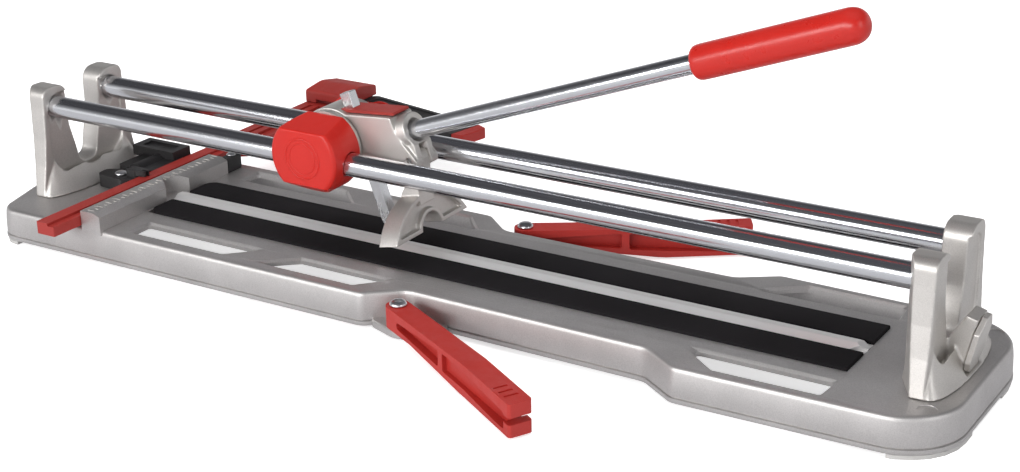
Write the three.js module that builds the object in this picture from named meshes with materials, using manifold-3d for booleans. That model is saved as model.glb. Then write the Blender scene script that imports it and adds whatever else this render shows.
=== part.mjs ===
// Rail tile cutter: cast base, two chrome rails on end supports, a sliding carriage with the
// scoring and breaking lever, two swing-out tile arms and a sliding end stop with a swivel fence.
// Millimetres, +X along the rails towards the handle side, +Y away from the user's left hand, +Z up.
// The origin is on the bench, halfway between the supports and under the middle of the ridge.

import * as THREE from 'three';
import { mergeVertices } from 'three/addons/utils/BufferGeometryUtils.js';
import { ConvexGeometry } from 'three/addons/geometries/ConvexGeometry.js';
import Module from 'manifold-3d';

const wasm = await Module();
wasm.setup();

// ---- driving dimensions ----
const gap = 0.3;               // clearance between touching pieces

const railFree = 740;          // rail length between the supports
const railRadius = 9;
const railSpread = 32.4;       // rail axis from the middle plane
const railHeight = 102.5;      // rail axis above the bench
const railSeat = 14;           // how far a rail goes into its support

const baseHalfWidth = 92;
const baseOverhangLeft = 36;   // base beyond the left support's inner face
const baseOverhangRight = 46;
const plateTop = 29.5;
const plateThickness = 5;
const rimBottom = 3.3;
const rimWall = 5;
const recessDepth = 22;        // arm recess in each long side
const recessStart = 4;
const recessEnd = 200;
const footHeight = 3;
const windowWall = 3;
const windowSkirt = 6;
const windowMargin = 12.5;     // base edge to the windows' outer sides
const windowInner = 58;

const padThickness = 4;
const padProud = 2;
const padInner = 9.8;
const padOuter = 39.5;
const padEndRight = 38;        // pad end to the right support
const ridgeHalfWidth = 8;
const ridgeHeight = 4.4;       // ridge crest above the plate

const blockFromSupport = 76;   // left support to the scale block's back
const blockWidth = 20;
const blockHeight = 14.5;
const blockBack = 64;
const notchHalfWidth = 14;
const notchDepth = 17;

const supportThickness = 20;
const supportHalfWidth = 57;
const armHalfWidth = 14;       // each support arm around its rail
const valleyHeight = 47;       // lowest point between the support's arms
const boltRadius = 4;

const pivotX = -99;            // lever pivot on the carriage
const pivotHeight = 107.5;
const pivotPinRadius = 6;
const drumRadius = 28;
const capRadius = 31;
const capFace = 52;            // cap's outer face from the middle plane
const headHalfWidth = 14;
const cheekThickness = 5.4;
const bushWall = 2;
const housingWall = 3;
const housingLength = 44;

const leverAngle = 19.8;       // rod above the horizontal as set down
const rodRadius = 7;
const rodOffset = 5.3;         // rod axis below the line through the pivot
const rodStart = 31;
const gripStart = 316;
const gripLength = 127;
const gripRadius = 12.3;
const bossRadius = 13.6;
const headLength = 72;

const holderSide = 9;          // square bar that carries the wheel
const holderAcross = 19.1;
const holderTop = 35;
const holderBottom = -68;
const wheelDrop = -69;
const wheelRadius = 7;
const wheelThickness = 2.4;

const breakerPinAlong = 65.3;
const breakerPinDrop = 25.4;
const breakerPinRadius = 2.5;
const breakerThickness = 17;
const breakerHalfWidth = 48;
const breakerDrop = 56;        // hinge pin to the soles
const breakerCrest = 28;
const breakerTilt = 8;

const armReach = 180;
const armPivotX = 9.7;
const armPivotInset = 4;       // arm pivot inside the base's widest line
const armWidth = 18;
const armTop = 26;
const armFloor = 2;
const armAngleFront = -28;
const armAngleBack = 31;
const armScrewRadius = 4;
const lugTop = 9.6;

const stopWidth = 18.4;
const stopClearance = 2;       // stop above the plate
const stopHeight = 10;
const stopFront = -122;
const stopBack = 281;
const stopWide = 34;
const fenceLength = 165;
const fenceWidth = 36;
const fenceAngle = -12;

// ---- helpers ----
const degrees = Math.PI / 180;
const arcStep = 15 * degrees;  // rounded corners are drawn in steps of about this angle

// closed three.js geometry to a solid that can be joined and cut
function solid(geometry) {
  const bare = geometry.clone();
  bare.deleteAttribute('normal');
  bare.deleteAttribute('uv');
  const merged = mergeVertices(bare, 1e-4);
  const vertProperties = new Float32Array(merged.attributes.position.array);
  const triVerts = new Uint32Array(merged.index.array);
  return new wasm.Manifold(new wasm.Mesh({ numProp: 3, vertProperties, triVerts }));
}

function geometryOf(body) {
  const mesh = body.getMesh();
  const geometry = new THREE.BufferGeometry();
  geometry.setAttribute('position', new THREE.BufferAttribute(new Float32Array(mesh.vertProperties), 3));
  geometry.setIndex(new THREE.BufferAttribute(new Uint32Array(mesh.triVerts), 1));
  geometry.computeVertexNormals();
  return geometry;
}

function join(first, ...others) {
  return others.reduce((sum, other) => sum.add(other), first);
}

function cut(first, ...others) {
  return others.reduce((rest, other) => rest.subtract(other), first);
}

function box(x0, x1, y0, y1, z0, z1) {
  const geometry = new THREE.BoxGeometry(x1 - x0, y1 - y0, z1 - z0);
  geometry.translate((x0 + x1) / 2, (y0 + y1) / 2, (z0 + z1) / 2);
  return solid(geometry);
}

// cylinder between two points
function rod(radius, from, to, segments = 32) {
  const start = new THREE.Vector3(...from);
  const along = new THREE.Vector3(...to).sub(start);
  const geometry = new THREE.CylinderGeometry(radius, radius, along.length(), segments);
  geometry.translate(0, along.length() / 2, 0);
  const up = new THREE.Vector3(0, 1, 0);
  geometry.applyQuaternion(new THREE.Quaternion().setFromUnitVectors(up, along.normalize()));
  geometry.translate(start.x, start.y, start.z);
  return solid(geometry);
}

// closed outline through corners [x, y, radius], with each corner rounded
function outline(corners) {
  const points = [];
  corners.forEach((corner, index) => {
    const here = new THREE.Vector2(corner[0], corner[1]);
    const before = corners[(index + corners.length - 1) % corners.length];
    const after = corners[(index + 1) % corners.length];
    const back = new THREE.Vector2(before[0], before[1]).sub(here);
    const ahead = new THREE.Vector2(after[0], after[1]).sub(here);
    const radius = corner[2] ?? 0;
    const halfAngle = Math.acos(back.dot(ahead) / (back.length() * ahead.length())) / 2;
    const longest = 0.48 * Math.min(back.length(), ahead.length());
    const setback = Math.min(radius / Math.tan(halfAngle), longest);
    if (setback < 1e-3) {
      points.push(here);
      return;
    }
    const rounded = setback * Math.tan(halfAngle);
    const bisector = back.clone().normalize().add(ahead.clone().normalize()).normalize();
    const centre = here.clone().addScaledVector(bisector, rounded / Math.sin(halfAngle));
    const first = here.clone().addScaledVector(back.normalize(), setback).sub(centre);
    const last = here.clone().addScaledVector(ahead.normalize(), setback).sub(centre);
    const sweep = Math.atan2(first.cross(last), first.dot(last));
    const steps = Math.max(1, Math.round(Math.abs(sweep) / arcStep));
    for (let step = 0; step <= steps; step += 1) {
      points.push(first.clone().rotateAround(new THREE.Vector2(), (sweep * step) / steps).add(centre));
    }
  });
  return new THREE.Shape(points);
}

// outline corners moved inwards by a distance, for a counterclockwise outline
function inset(corners, distance) {
  return corners.map((corner, index) => {
    const before = corners[(index + corners.length - 1) % corners.length];
    const after = corners[(index + 1) % corners.length];
    const inward = new THREE.Vector2(corner[0] - before[0], corner[1] - before[1]).normalize();
    const outward = new THREE.Vector2(after[0] - corner[0], after[1] - corner[1]).normalize();
    const turn = inward.cross(outward);
    const share = distance / (1 + inward.dot(outward));
    const x = corner[0] - share * (inward.y + outward.y);
    const y = corner[1] + share * (inward.x + outward.x);
    return [x, y, Math.max(0.5, (corner[2] ?? 0) - Math.sign(turn) * distance)];
  });
}

function extrude(shape, depth) {
  return new THREE.ExtrudeGeometry(shape, { depth, bevelEnabled: false, curveSegments: 10 });
}

// outline in plan, from z0 up to z1
function prism(corners, z0, z1) {
  const geometry = extrude(outline(corners), z1 - z0);
  geometry.translate(0, 0, z0);
  return solid(geometry);
}

// outline seen from the side, x and z, spread in y from y0 to y1
function sideways(corners, y0, y1) {
  const geometry = extrude(outline(corners), y1 - y0);
  geometry.rotateX(Math.PI / 2);
  geometry.translate(0, y1, 0);
  return solid(geometry);
}

// outline seen from the end, y and z, spread in x from x0 to x1
function endways(corners, x0, x1) {
  const geometry = extrude(outline(corners), x1 - x0);
  const turn = new THREE.Matrix4().makeBasis(
    new THREE.Vector3(0, 1, 0), new THREE.Vector3(0, 0, 1), new THREE.Vector3(1, 0, 0));
  geometry.applyMatrix4(turn);
  geometry.translate(x0, 0, 0);
  return solid(geometry);
}

function hull(points) {
  return solid(new ConvexGeometry(points.map((point) => new THREE.Vector3(...point))));
}

// turned profile [radius, height], from the axis back to the axis
function turned(profile, segments = 32) {
  const points = profile.map(([radius, height]) => new THREE.Vector2(radius, height));
  return new THREE.LatheGeometry(points, segments);
}

function mirrorCorners(corners) {
  return corners.map(([x, y, radius]) => [x, -y, radius]).reverse();
}

const group = new THREE.Group();

const finishes = {
  castAluminium: { color: 0xb4aea8, roughness: 0.55, metalness: 0.8 },
  chrome: { color: 0xd8dade, roughness: 0.12, metalness: 1 },
  steel: { color: 0x9a9a9c, roughness: 0.35, metalness: 1 },
  rubber: { color: 0x1b1a1c, roughness: 0.85, metalness: 0 },
  blackPlastic: { color: 0x222124, roughness: 0.6, metalness: 0 },
  greyRubber: { color: 0x9c9894, roughness: 0.7, metalness: 0 },
  redPlastic: { color: 0xb7231f, roughness: 0.45, metalness: 0 },
  gripRed: { color: 0xd8221c, roughness: 0.3, metalness: 0 },
  bronze: { color: 0xa0713a, roughness: 0.4, metalness: 0.9 },
  carbide: { color: 0x6f7074, roughness: 0.3, metalness: 1 },
};

function piece(name, shape, finish, parent = group) {
  const geometry = shape.isBufferGeometry ? shape : geometryOf(shape);
  const mesh = new THREE.Mesh(geometry, new THREE.MeshStandardMaterial(finishes[finish]));
  mesh.name = name;
  parent.add(mesh);
  return mesh;
}

// ---- places worked out from the driving dimensions ----
const leftFace = -railFree / 2;
const rightFace = railFree / 2;
const baseLeft = leftFace - baseOverhangLeft;
const baseRight = rightFace + baseOverhangRight;
const plateFloor = plateTop - plateThickness;
const padTop = plateTop + padProud;
const pocketFloor = padTop - padThickness - gap;
const blockLeft = leftFace + blockFromSupport;
const blockRight = blockLeft + blockWidth;
const blockTop = plateTop + blockHeight;
const padLeft = blockRight + 2;
const padRight = rightFace - padEndRight;
const stopFloor = plateTop + stopClearance;
const armPivotY = baseHalfWidth - armPivotInset;
const footInset = 1;

// ---- base ----
function longSide() {
  // front edge from the left nose to the right nose, y negative
  const edge = -baseHalfWidth;
  const inner = edge + recessDepth;
  return [
    [baseLeft, -28, 34],
    [baseLeft + 19, edge - 1.5, 20],
    [armPivotX - 32, edge, 12],
    [recessStart, inner, 14],
    [recessEnd, inner - 2, 14],
    [recessEnd + 29, edge + 1, 12],
    [baseRight, edge + 5, 45],
  ];
}

const frontCorners = longSide();
const baseCorners = [...frontCorners, ...mirrorCorners(frontCorners)];

const windowOuter = baseHalfWidth - windowMargin;
const windowCorners = [
  [[blockRight + 20, -windowOuter, 3], [-160, -windowOuter, 4], [-138, -windowInner, 3],
    [blockRight + 20, -windowInner, 3]],
  [[-126, -windowOuter, 3], [-37, -windowOuter, 4], [-17, -windowInner, 3], [-101, -windowInner, 3]],
  [[recessEnd + 55, -windowOuter, 6], [padRight - 3, -windowOuter + 1, 4], [padRight - 1,
    -windowInner + 2, 3],
    [recessEnd + 24, -windowInner + 2, 4]],
];

function windowsOf(corners) {
  return [corners, mirrorCorners(corners)];
}

function buildBase() {
  const rim = prism(baseCorners, rimBottom, plateTop);
  const hollow = prism(inset(baseCorners, rimWall), rimBottom - 1, plateFloor);
  let casting = cut(rim, hollow);
  const allWindows = windowCorners.flatMap(windowsOf);
  for (const corners of allWindows) {
    casting = casting.add(prism(inset(corners, -windowWall), plateFloor - windowSkirt, plateFloor + 1));
  }
  for (const corners of allWindows) {
    casting = casting.subtract(prism(corners, rimBottom - 1, plateTop + 1));
  }
  const crest = box(blockLeft, blockRight, -baseHalfWidth - 0.6, blockBack, plateFloor + 1, blockTop);
  const chamfer = sideways([[blockRight - 8, blockTop + 1], [blockRight + 1, blockTop - 3],
    [blockRight + 1, blockTop + 1]], -baseHalfWidth - 9, blockBack + 1);
  const notch = prism([[blockRight - notchDepth, 0], [blockRight + 0.6, -notchHalfWidth - 0.5],
    [blockRight + 0.6, notchHalfWidth + 0.5]], plateTop, blockTop + 1);
  casting = join(casting, cut(crest, chamfer, notch));
  const pocket = box(padLeft - gap, padRight + gap, -padOuter - gap, padOuter + gap, pocketFloor,
    plateTop + 1);
  casting = casting.subtract(pocket);
  for (const slideY of [-70, 10, 74]) {
    casting = casting.add(box(blockLeft - stopWidth + 2, blockLeft - 3, slideY - 6, slideY + 6,
      plateTop - 1, stopFloor - gap));
  }
  for (const side of [-1, 1]) {
    const lug = [[armPivotX - 32, -baseHalfWidth + 6, 6], [armPivotX - 1, -baseHalfWidth - 5, 10],
      [armPivotX + 11, -baseHalfWidth - 4, 10], [armPivotX + 42, -baseHalfWidth + recessDepth + 1, 6],
      [armPivotX - 10, -baseHalfWidth + recessDepth + 1, 2]];
    const ledge = prism(side < 0 ? lug : mirrorCorners(lug), rimBottom, lugTop);
    const hole = rod(armScrewRadius + gap, [armPivotX, side * armPivotY, 0], [armPivotX,
      side * armPivotY, lugTop + 1]);
    casting = join(casting, ledge).subtract(hole);
  }
  casting = casting.add(rod(14, [0, 0, rimBottom], [0, 0, plateFloor + 0.5]));
  for (const x of [leftFace - supportThickness / 2, rightFace + supportThickness / 2]) {
    for (const y of [-railSpread, railSpread]) {
      casting = casting.subtract(rod(boltRadius + gap, [x, y, plateFloor - 1], [x, y, plateTop + 1], 20));
    }
  }
  return casting;
}

piece('base_casting', buildBase(), 'castAluminium');

// ---- rubber pads and the breaking ridge ----
for (const [name, side] of [['pad_front', -1], ['pad_back', 1]]) {
  const corners = [[padLeft, side * padInner, 2], [padRight, side * padInner, 1],
    [padRight, side * padOuter, 1], [padLeft, side * padOuter, 8]];
  const ordered = side > 0 ? corners : [...corners].reverse();
  piece(name, prism(ordered, pocketFloor + gap, padTop), 'rubber');
}

const crestZ = plateTop + ridgeHeight;
const ridgeProfile = [[-ridgeHalfWidth, pocketFloor + gap], [ridgeHalfWidth, pocketFloor + gap],
  [ridgeHalfWidth, plateTop + 1], [2.6, crestZ, 0.6], [-2.6, crestZ, 0.6], [-ridgeHalfWidth, plateTop + 1]];
const ridgeBevel = sideways([[padRight - 9, crestZ + 1], [padRight + 1, plateTop], [padRight + 1,
  crestZ + 1]],
  -ridgeHalfWidth - 1, ridgeHalfWidth + 1);
piece('breaking_ridge', cut(endways(ridgeProfile, padLeft, padRight), ridgeBevel), 'castAluminium');

// ---- feet ----
function cornerFoot(xSign, ySign) {
  const strip = cut(prism(inset(baseCorners, footInset), 0, footHeight),
    prism(inset(baseCorners, footInset + rimWall + 4), -1, footHeight + 1));
  const x0 = xSign < 0 ? baseLeft - 1 : baseRight - 38;
  const x1 = xSign < 0 ? baseLeft + 36 : baseRight + 1;
  const far = baseHalfWidth + 4;
  const area = box(x0, x1, ySign > 0 ? 30 : -far, ySign > 0 ? far : -30, -1, footHeight + 1);
  return strip.intersect(area);
}

for (const [name, xSign, ySign] of [['foot_front_left', -1, -1], ['foot_front_right', 1, -1],
  ['foot_back_left', -1, 1], ['foot_back_right', 1, 1]]) {
  piece(name, cornerFoot(xSign, ySign), 'greyRubber');
}
piece('foot_centre', rod(15, [0, 0, 0], [0, 0, footHeight]), 'rubber');

// ---- end supports ----
function supportShape(side) {
  const face = side < 0 ? leftFace : rightFace;
  const back = face + side * supportThickness;
  const floor = plateTop + gap;
  const tip = railHeight + armHalfWidth + 3;
  const arms = [[-supportHalfWidth, floor], [supportHalfWidth, floor],
    [railSpread + armHalfWidth, railHeight - 4, 60], [railSpread + armHalfWidth - 1, tip, 12],
    [railSpread - armHalfWidth + 1, tip, 12], [armHalfWidth - 1, valleyHeight + 18, 20],
    [armHalfWidth - 5, valleyHeight, 9], [-armHalfWidth + 5, valleyHeight, 9],
    [-armHalfWidth + 1, valleyHeight + 18, 20], [-railSpread + armHalfWidth - 1, tip, 12],
    [-railSpread - armHalfWidth + 1, tip, 12], [-railSpread - armHalfWidth, railHeight - 4, 60]];
  let shape = endways(arms, Math.min(face, back), Math.max(face, back));
  const footIn = side < 0 ? 14 : 5;
  const inner = face - side * footIn;
  const outer = back + side * 15;
  const rise = side < 0 ? 34 : 22;
  const foot = hull([
    [inner, -24, floor], [inner, 24, floor], [face, -54, floor], [face, 54, floor],
    [face, -46, floor + rise * 0.5], [face, 46, floor + rise * 0.5], [face, -16, floor + rise * 0.5],
    [face, 16, floor + rise * 0.5], [back, -52, floor], [back, 52, floor],
    [back, -40, floor + rise * 0.5], [back, 40, floor + rise * 0.5],
  ]);
  const shoulder = hull([
    [back - side, -50, floor], [back - side, 50, floor], [outer, -13, floor], [outer, 13, floor],
    [back - side, -36, floor + 30], [back - side, 36, floor + 30], [outer - side * 2, -11, floor + 6],
    [outer - side * 2, 11, floor + 6],
  ]);
  shape = side < 0 ? join(shape, foot) : join(shape, foot, shoulder);
  const valley = endways([[-armHalfWidth + 5, valleyHeight, 9], [armHalfWidth - 5, valleyHeight, 9],
    [armHalfWidth - 1, valleyHeight + 18, 20], [armHalfWidth + 1, railHeight + 40],
    [-armHalfWidth - 1, railHeight + 40], [-armHalfWidth + 1, valleyHeight + 18, 20]],
  Math.min(inner, outer) - 1, Math.max(inner, outer) + 1);
  shape = shape.subtract(valley);
  const left = Math.min(face, back);
  for (const way of [-1, 1]) {
    const bevel = [[left - 1, way * 32], [left - 1, way * 62], [left + 13.4, way * 62]];
    shape = shape.subtract(prism(way < 0 ? bevel : bevel.reverse(), 0, railHeight + 40));
  }
  for (const y of [-railSpread, railSpread]) {
    shape = shape.subtract(rod(railRadius + gap, [face - side * 30, y, railHeight],
      [face + side * (railSeat + gap), y, railHeight]));
    const boltX = face + side * supportThickness / 2;
    shape = shape.subtract(rod(boltRadius + gap, [boltX, y, floor - 1], [boltX, y, floor + 21], 20));
  }
  return shape;
}

piece('support_left', supportShape(-1), 'castAluminium');

// sloping rib on the right support's outer side, with a blank badge on it
const ribFoot = rightFace + supportThickness;
const ribCorners = [[ribFoot - 2, plateTop + gap], [ribFoot + 8.6, plateTop + gap], [ribFoot + 8.6,
  plateTop + 3],
  [ribFoot + 17, plateTop + 41], [ribFoot + 9, plateTop + 43], [ribFoot - 2, plateTop + 26]];
const ribHalfWidth = 10;
const badgeHalfWidth = 13;
const badgeBed = sideways([[ribFoot + 8.6, plateTop + 1.9], [ribFoot + 30, plateTop + 1.9],
  [ribFoot + 30, plateTop + 43],
  [ribFoot + 17.3, plateTop + 43]], -badgeHalfWidth - gap, badgeHalfWidth + gap);
const rib = sideways(ribCorners, -ribHalfWidth, ribHalfWidth);
piece('support_right', cut(supportShape(1).add(rib), badgeBed), 'castAluminium');
const badgeCorners = [[ribFoot + 9, plateTop + 3.2, 1], [ribFoot + 13, plateTop + 2.3, 1],
  [ribFoot + 21.6, plateTop + 41.4, 1], [ribFoot + 17.6, plateTop + 42.3, 1]];
piece('badge_plate', sideways(badgeCorners, -badgeHalfWidth, badgeHalfWidth), 'castAluminium');

function bolt(x, y) {
  const headTop = plateFloor - gap;
  return join(rod(boltRadius, [x, y, headTop - 1], [x, y, plateTop + 20], 20), rod(6.5, [x, y,
    headTop - 5], [x, y, headTop], 6));
}

for (const [name, side] of [['left', -1], ['right', 1]]) {
  const x = side * (railFree / 2 + supportThickness / 2);
  piece(`bolt_${name}_front`, bolt(x, -railSpread), 'steel');
  piece(`bolt_${name}_back`, bolt(x, railSpread), 'steel');
}

for (const [name, side] of [['rail_front', -1], ['rail_back', 1]]) {
  const y = side * railSpread;
  piece(name, rod(railRadius, [leftFace - railSeat, y, railHeight], [rightFace + railSeat, y,
    railHeight], 40), 'chrome');
}

// ---- carriage ----
const bushOuter = railRadius + gap + bushWall;
const housingOuter = bushOuter + gap + housingWall;
const cheekInner = headHalfWidth + gap + 0.3;
const cheekOuter = cheekInner + cheekThickness;

for (const [name, side] of [['front', -1], ['back', 1]]) {
  const y = side * railSpread;
  const x0 = pivotX - housingLength / 2;
  const x1 = pivotX + housingLength / 2;
  const cheek = rod(drumRadius, [pivotX, side * cheekInner, pivotHeight], [pivotX, side * cheekOuter,
    pivotHeight], 40);
  const tube = rod(housingOuter, [x0, y, railHeight], [x1, y, railHeight]);
  const web = box(x0 + 4, x1 - 4, Math.min(side * (cheekOuter - 1), y),
    Math.max(side * (cheekOuter - 1), y),
    railHeight - 9, railHeight + 11);
  const bore = rod(bushOuter + gap, [x0 - 1, y, railHeight], [x1 + 1, y, railHeight]);
  const pinHole = rod(pivotPinRadius + gap, [pivotX, side * (cheekInner - 1), pivotHeight],
    [pivotX, side * (cheekOuter - 1.5), pivotHeight], 24);
  piece(`carriage_${name}`, cut(join(cheek, tube, web), bore, pinHole), 'castAluminium');
  const bush = cut(rod(bushOuter, [x0, y, railHeight], [x1, y, railHeight]),
    rod(railRadius + gap, [x0 - 1, y, railHeight], [x1 + 1, y, railHeight]));
  piece(`bush_${name}`, bush, 'bronze');

  // round cover over the bush housing, open towards the middle plane
  const rimY = cheekOuter + gap;
  const depth = capFace - rimY;
  const dome = turned([[0, 0], [capRadius, 0], [capRadius, depth * 0.62], [capRadius - 0.8, depth - 2.5],
    [capRadius - 3.2, depth], [0, depth]], 44);
  dome.rotateX(side < 0 ? Math.PI : 0);
  dome.translate(pivotX, side * rimY, pivotHeight);
  const facets = [1, -1].map((way) => {
    const slope = [[21, capFace + 1], [21, capFace - 1], [capRadius + (way > 0 ? -2 : 2),
      rimY + (way > 0 ? -1 : 12)],
      [capRadius + 2, rimY + (way > 0 ? -1 : 12) + 0.01], [capRadius + 2, capFace + 1]];
    const corners = slope.map(([z, across]) => [side * across, pivotHeight + way * z]);
    const clockwise = side * way > 0 ? corners : [...corners].reverse();
    return endways([...clockwise].reverse(), pivotX - capRadius - 1, pivotX + capRadius + 1);
  });
  const room = housingOuter + 1;
  const cavity = join(
    rod(room, [x0 - 1, y, railHeight], [x1 + 1, y, railHeight]),
    box(x0 - 1, x1 + 1, Math.min(side * (rimY - 1), y), Math.max(side * (rimY - 1), y),
      railHeight - room, railHeight + room),
  );
  const railHole = rod(railRadius + 1.2, [pivotX - 50, y, railHeight], [pivotX + 50, y, railHeight]);
  piece(`cap_${name}`, cut(solid(dome), ...facets, cavity, railHole), 'gripRed');
}
const pinEnd = cheekOuter - 2;
piece('pivot_pin', rod(pivotPinRadius, [pivotX, -pinEnd, pivotHeight], [pivotX, pinEnd, pivotHeight],
  24), 'steel');

// ---- lever, in its own frame: x along the rod, origin on the pivot ----
const lever = new THREE.Group();
lever.position.set(pivotX, 0, pivotHeight);
lever.rotation.y = -leverAngle * degrees;
group.add(lever);

const forkHalfWidth = 11;
const knuckleHalfWidth = 5;
const holderHole = holderSide / 2 + gap;

function buildHead() {
  const drum = rod(drumRadius - 0.5, [0, -headHalfWidth, 0], [0, headHalfWidth, 0], 40);
  const body = sideways([[0, 25], [-20, 0], [0, -22], [30, -18, 10], [breakerPinAlong - 12, -22, 10],
    [headLength - 6, -14, 4], [headLength - 6, 8], [12, 22.5, 6]], -headHalfWidth, headHalfWidth);
  const fork = sideways([[headLength - 24, -10], [breakerPinAlong - 9, -breakerPinDrop - 4, 6],
    [breakerPinAlong - 4, -breakerPinDrop - 8, 5], [headLength, -breakerPinDrop - 8, 5],
      [headLength + 1.5, -16, 4],
    [headLength - 2, -6]], -forkHalfWidth, forkHalfWidth);
  const boss = rod(bossRadius, [headLength - 30, 0, -rodOffset], [headLength - 2, 0, -rodOffset]);
  const slot = box(breakerPinAlong - 12, headLength + 3, -knuckleHalfWidth - 0.4, knuckleHalfWidth + 0.4,
    -breakerPinDrop - 12, -breakerPinDrop + 10);
  const pivotHole = rod(pivotPinRadius + gap, [0, -headHalfWidth - 1, 0], [0, headHalfWidth + 1, 0], 24);
  const rodHole = rod(rodRadius + gap, [rodStart - gap, 0, -rodOffset], [headLength + 5, 0, -rodOffset]);
  const barHole = box(holderAcross - holderHole, holderAcross + holderHole, -holderHole, holderHole,
    -60, 60);
  const hingeHole = rod(breakerPinRadius + gap, [breakerPinAlong, -20, -breakerPinDrop],
    [breakerPinAlong, 20, -breakerPinDrop], 16);
  return cut(join(drum, body, fork, boss), slot, pivotHole, rodHole, barHole, hingeHole);
}

const head = buildHead();
const insertBlank = sideways([[12.5, 22.9], [headLength - 9, 9.6, 1], [headLength - 9, 12.2, 1.2], [14,
  25.4, 1.2]],
  -10, 10);
const insertHole = box(holderAcross - holderHole, holderAcross + holderHole, -holderHole, holderHole, 0,
  40);
const headClear = rod(drumRadius - 0.2, [0, -12, 0], [0, 12, 0], 40);
const bossClear = rod(bossRadius + gap, [headLength - 31, 0, -rodOffset], [headLength, 0, -rodOffset]);
piece('lever_head', head, 'castAluminium', lever);
piece('head_insert', cut(insertBlank, insertHole, headClear, bossClear), 'redPlastic', lever);

const rodEnd = gripStart + gripLength - 12;
piece('lever_rod', rod(rodRadius, [rodStart, 0, -rodOffset], [rodEnd, 0, -rodOffset], 28), 'chrome', lever);

const gripProfile = [[0, 0], [gripRadius - 3, 0], [gripRadius - 0.8, 1.4], [gripRadius, 5], [gripRadius,
  gripLength - 12],
  [gripRadius - 1.6, gripLength - 5.5], [gripRadius - 5, gripLength - 1.5], [gripRadius - 9,
    gripLength], [0, gripLength]];
const gripBlank = turned(gripProfile);
gripBlank.rotateZ(-Math.PI / 2);
gripBlank.translate(gripStart, 0, -rodOffset);
const gripBore = rod(rodRadius + gap, [gripStart - 1, 0, -rodOffset], [rodEnd + gap, 0, -rodOffset], 28);
piece('grip', cut(solid(gripBlank), gripBore), 'gripRed', lever);

// square bar with the scoring wheel in a slot at its foot
const half = holderSide / 2;
const wheelSlot = box(holderAcross - 12, holderAcross + 12, -wheelThickness / 2 - gap,
  wheelThickness / 2 + gap,
  holderBottom - 8, wheelDrop + wheelRadius + 1);
const barSides = [[holderAcross - half, holderTop, 1], [holderAcross - half, holderBottom - 1, 1],
  [holderAcross, holderBottom - 5, 2], [holderAcross + half, holderBottom - 1, 1], [holderAcross + half,
    holderTop, 1]];
const axleHole = rod(1.5 + gap, [holderAcross, -9, wheelDrop], [holderAcross, 9, wheelDrop], 16);
piece('wheel_holder', cut(sideways(barSides, -half, half), wheelSlot, axleHole), 'steel', lever);
piece('wheel_axle', rod(1.5, [holderAcross, -half, wheelDrop], [holderAcross, half, wheelDrop], 16),
  'steel', lever);

const wheelRim = turned([[1.5 + gap, -wheelThickness / 2], [wheelRadius - 2, -wheelThickness / 2],
  [wheelRadius, 0],
  [wheelRadius - 2, wheelThickness / 2], [1.5 + gap, wheelThickness / 2], [1.5 + gap,
    -wheelThickness / 2]], 28);
wheelRim.translate(holderAcross, 0, wheelDrop);
piece('scoring_wheel', geometryOf(solid(wheelRim)), 'carbide', lever);

// ---- breaker, hung from its hinge pin ----
const breakerGroup = new THREE.Group();
breakerGroup.position.set(breakerPinAlong, 0, -breakerPinDrop);
breakerGroup.rotation.y = breakerTilt * degrees;
lever.add(breakerGroup);

function buildBreaker() {
  const front = -0.6;
  const rear = front - breakerThickness;
  const rise = breakerDrop - breakerCrest;
  const sphereRadius = (breakerHalfWidth ** 2 + rise ** 2) / (2 * rise);
  const disc = rod(sphereRadius, [rear, 0, -breakerCrest - sphereRadius], [front, 0,
    -breakerCrest - sphereRadius], 96);
  const below = box(rear - 1, front + 1, -90, 90, -breakerCrest - 2 * sphereRadius - 1, -breakerDrop);
  const arch = rod(13, [rear - 1, 0, -breakerDrop - 1], [front + 1, 0, -breakerDrop - 1]);
  const crown = cut(disc, below, arch);
  const neck = sideways([[rear, -breakerCrest - 6], [front, -breakerCrest - 6], [front,
    -breakerCrest + 2, 4], [3.5, -14, 3],
    [-6, -13, 3], [rear, -breakerCrest + 1, 5]], -9, 9);
  const tongue = sideways([[-8, -15], [5, -15], [6, 0, 5], [4, 5.6, 4], [-4, 5.6, 4], [-6, 0, 5]],
    -knuckleHalfWidth, knuckleHalfWidth);
  const hole = rod(breakerPinRadius + gap, [0, -9, 0], [0, 9, 0], 16);
  const scoop = cut(rod(sphereRadius - 7, [front - 4, 0, -breakerCrest - sphereRadius],
    [front + 1, 0, -breakerCrest - sphereRadius], 96), box(-60, 60, -90, 90, -300, -breakerDrop + 5),
  rod(17, [rear - 1, 0, -breakerDrop - 1], [front + 2, 0, -breakerDrop - 1]));
  return cut(join(crown, neck, tongue), hole, scoop);
}

piece('breaker', buildBreaker(), 'castAluminium', breakerGroup);
piece('breaker_pin', rod(breakerPinRadius, [breakerPinAlong, -forkHalfWidth, -breakerPinDrop],
  [breakerPinAlong, forkHalfWidth, -breakerPinDrop], 16), 'steel', lever);

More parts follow.
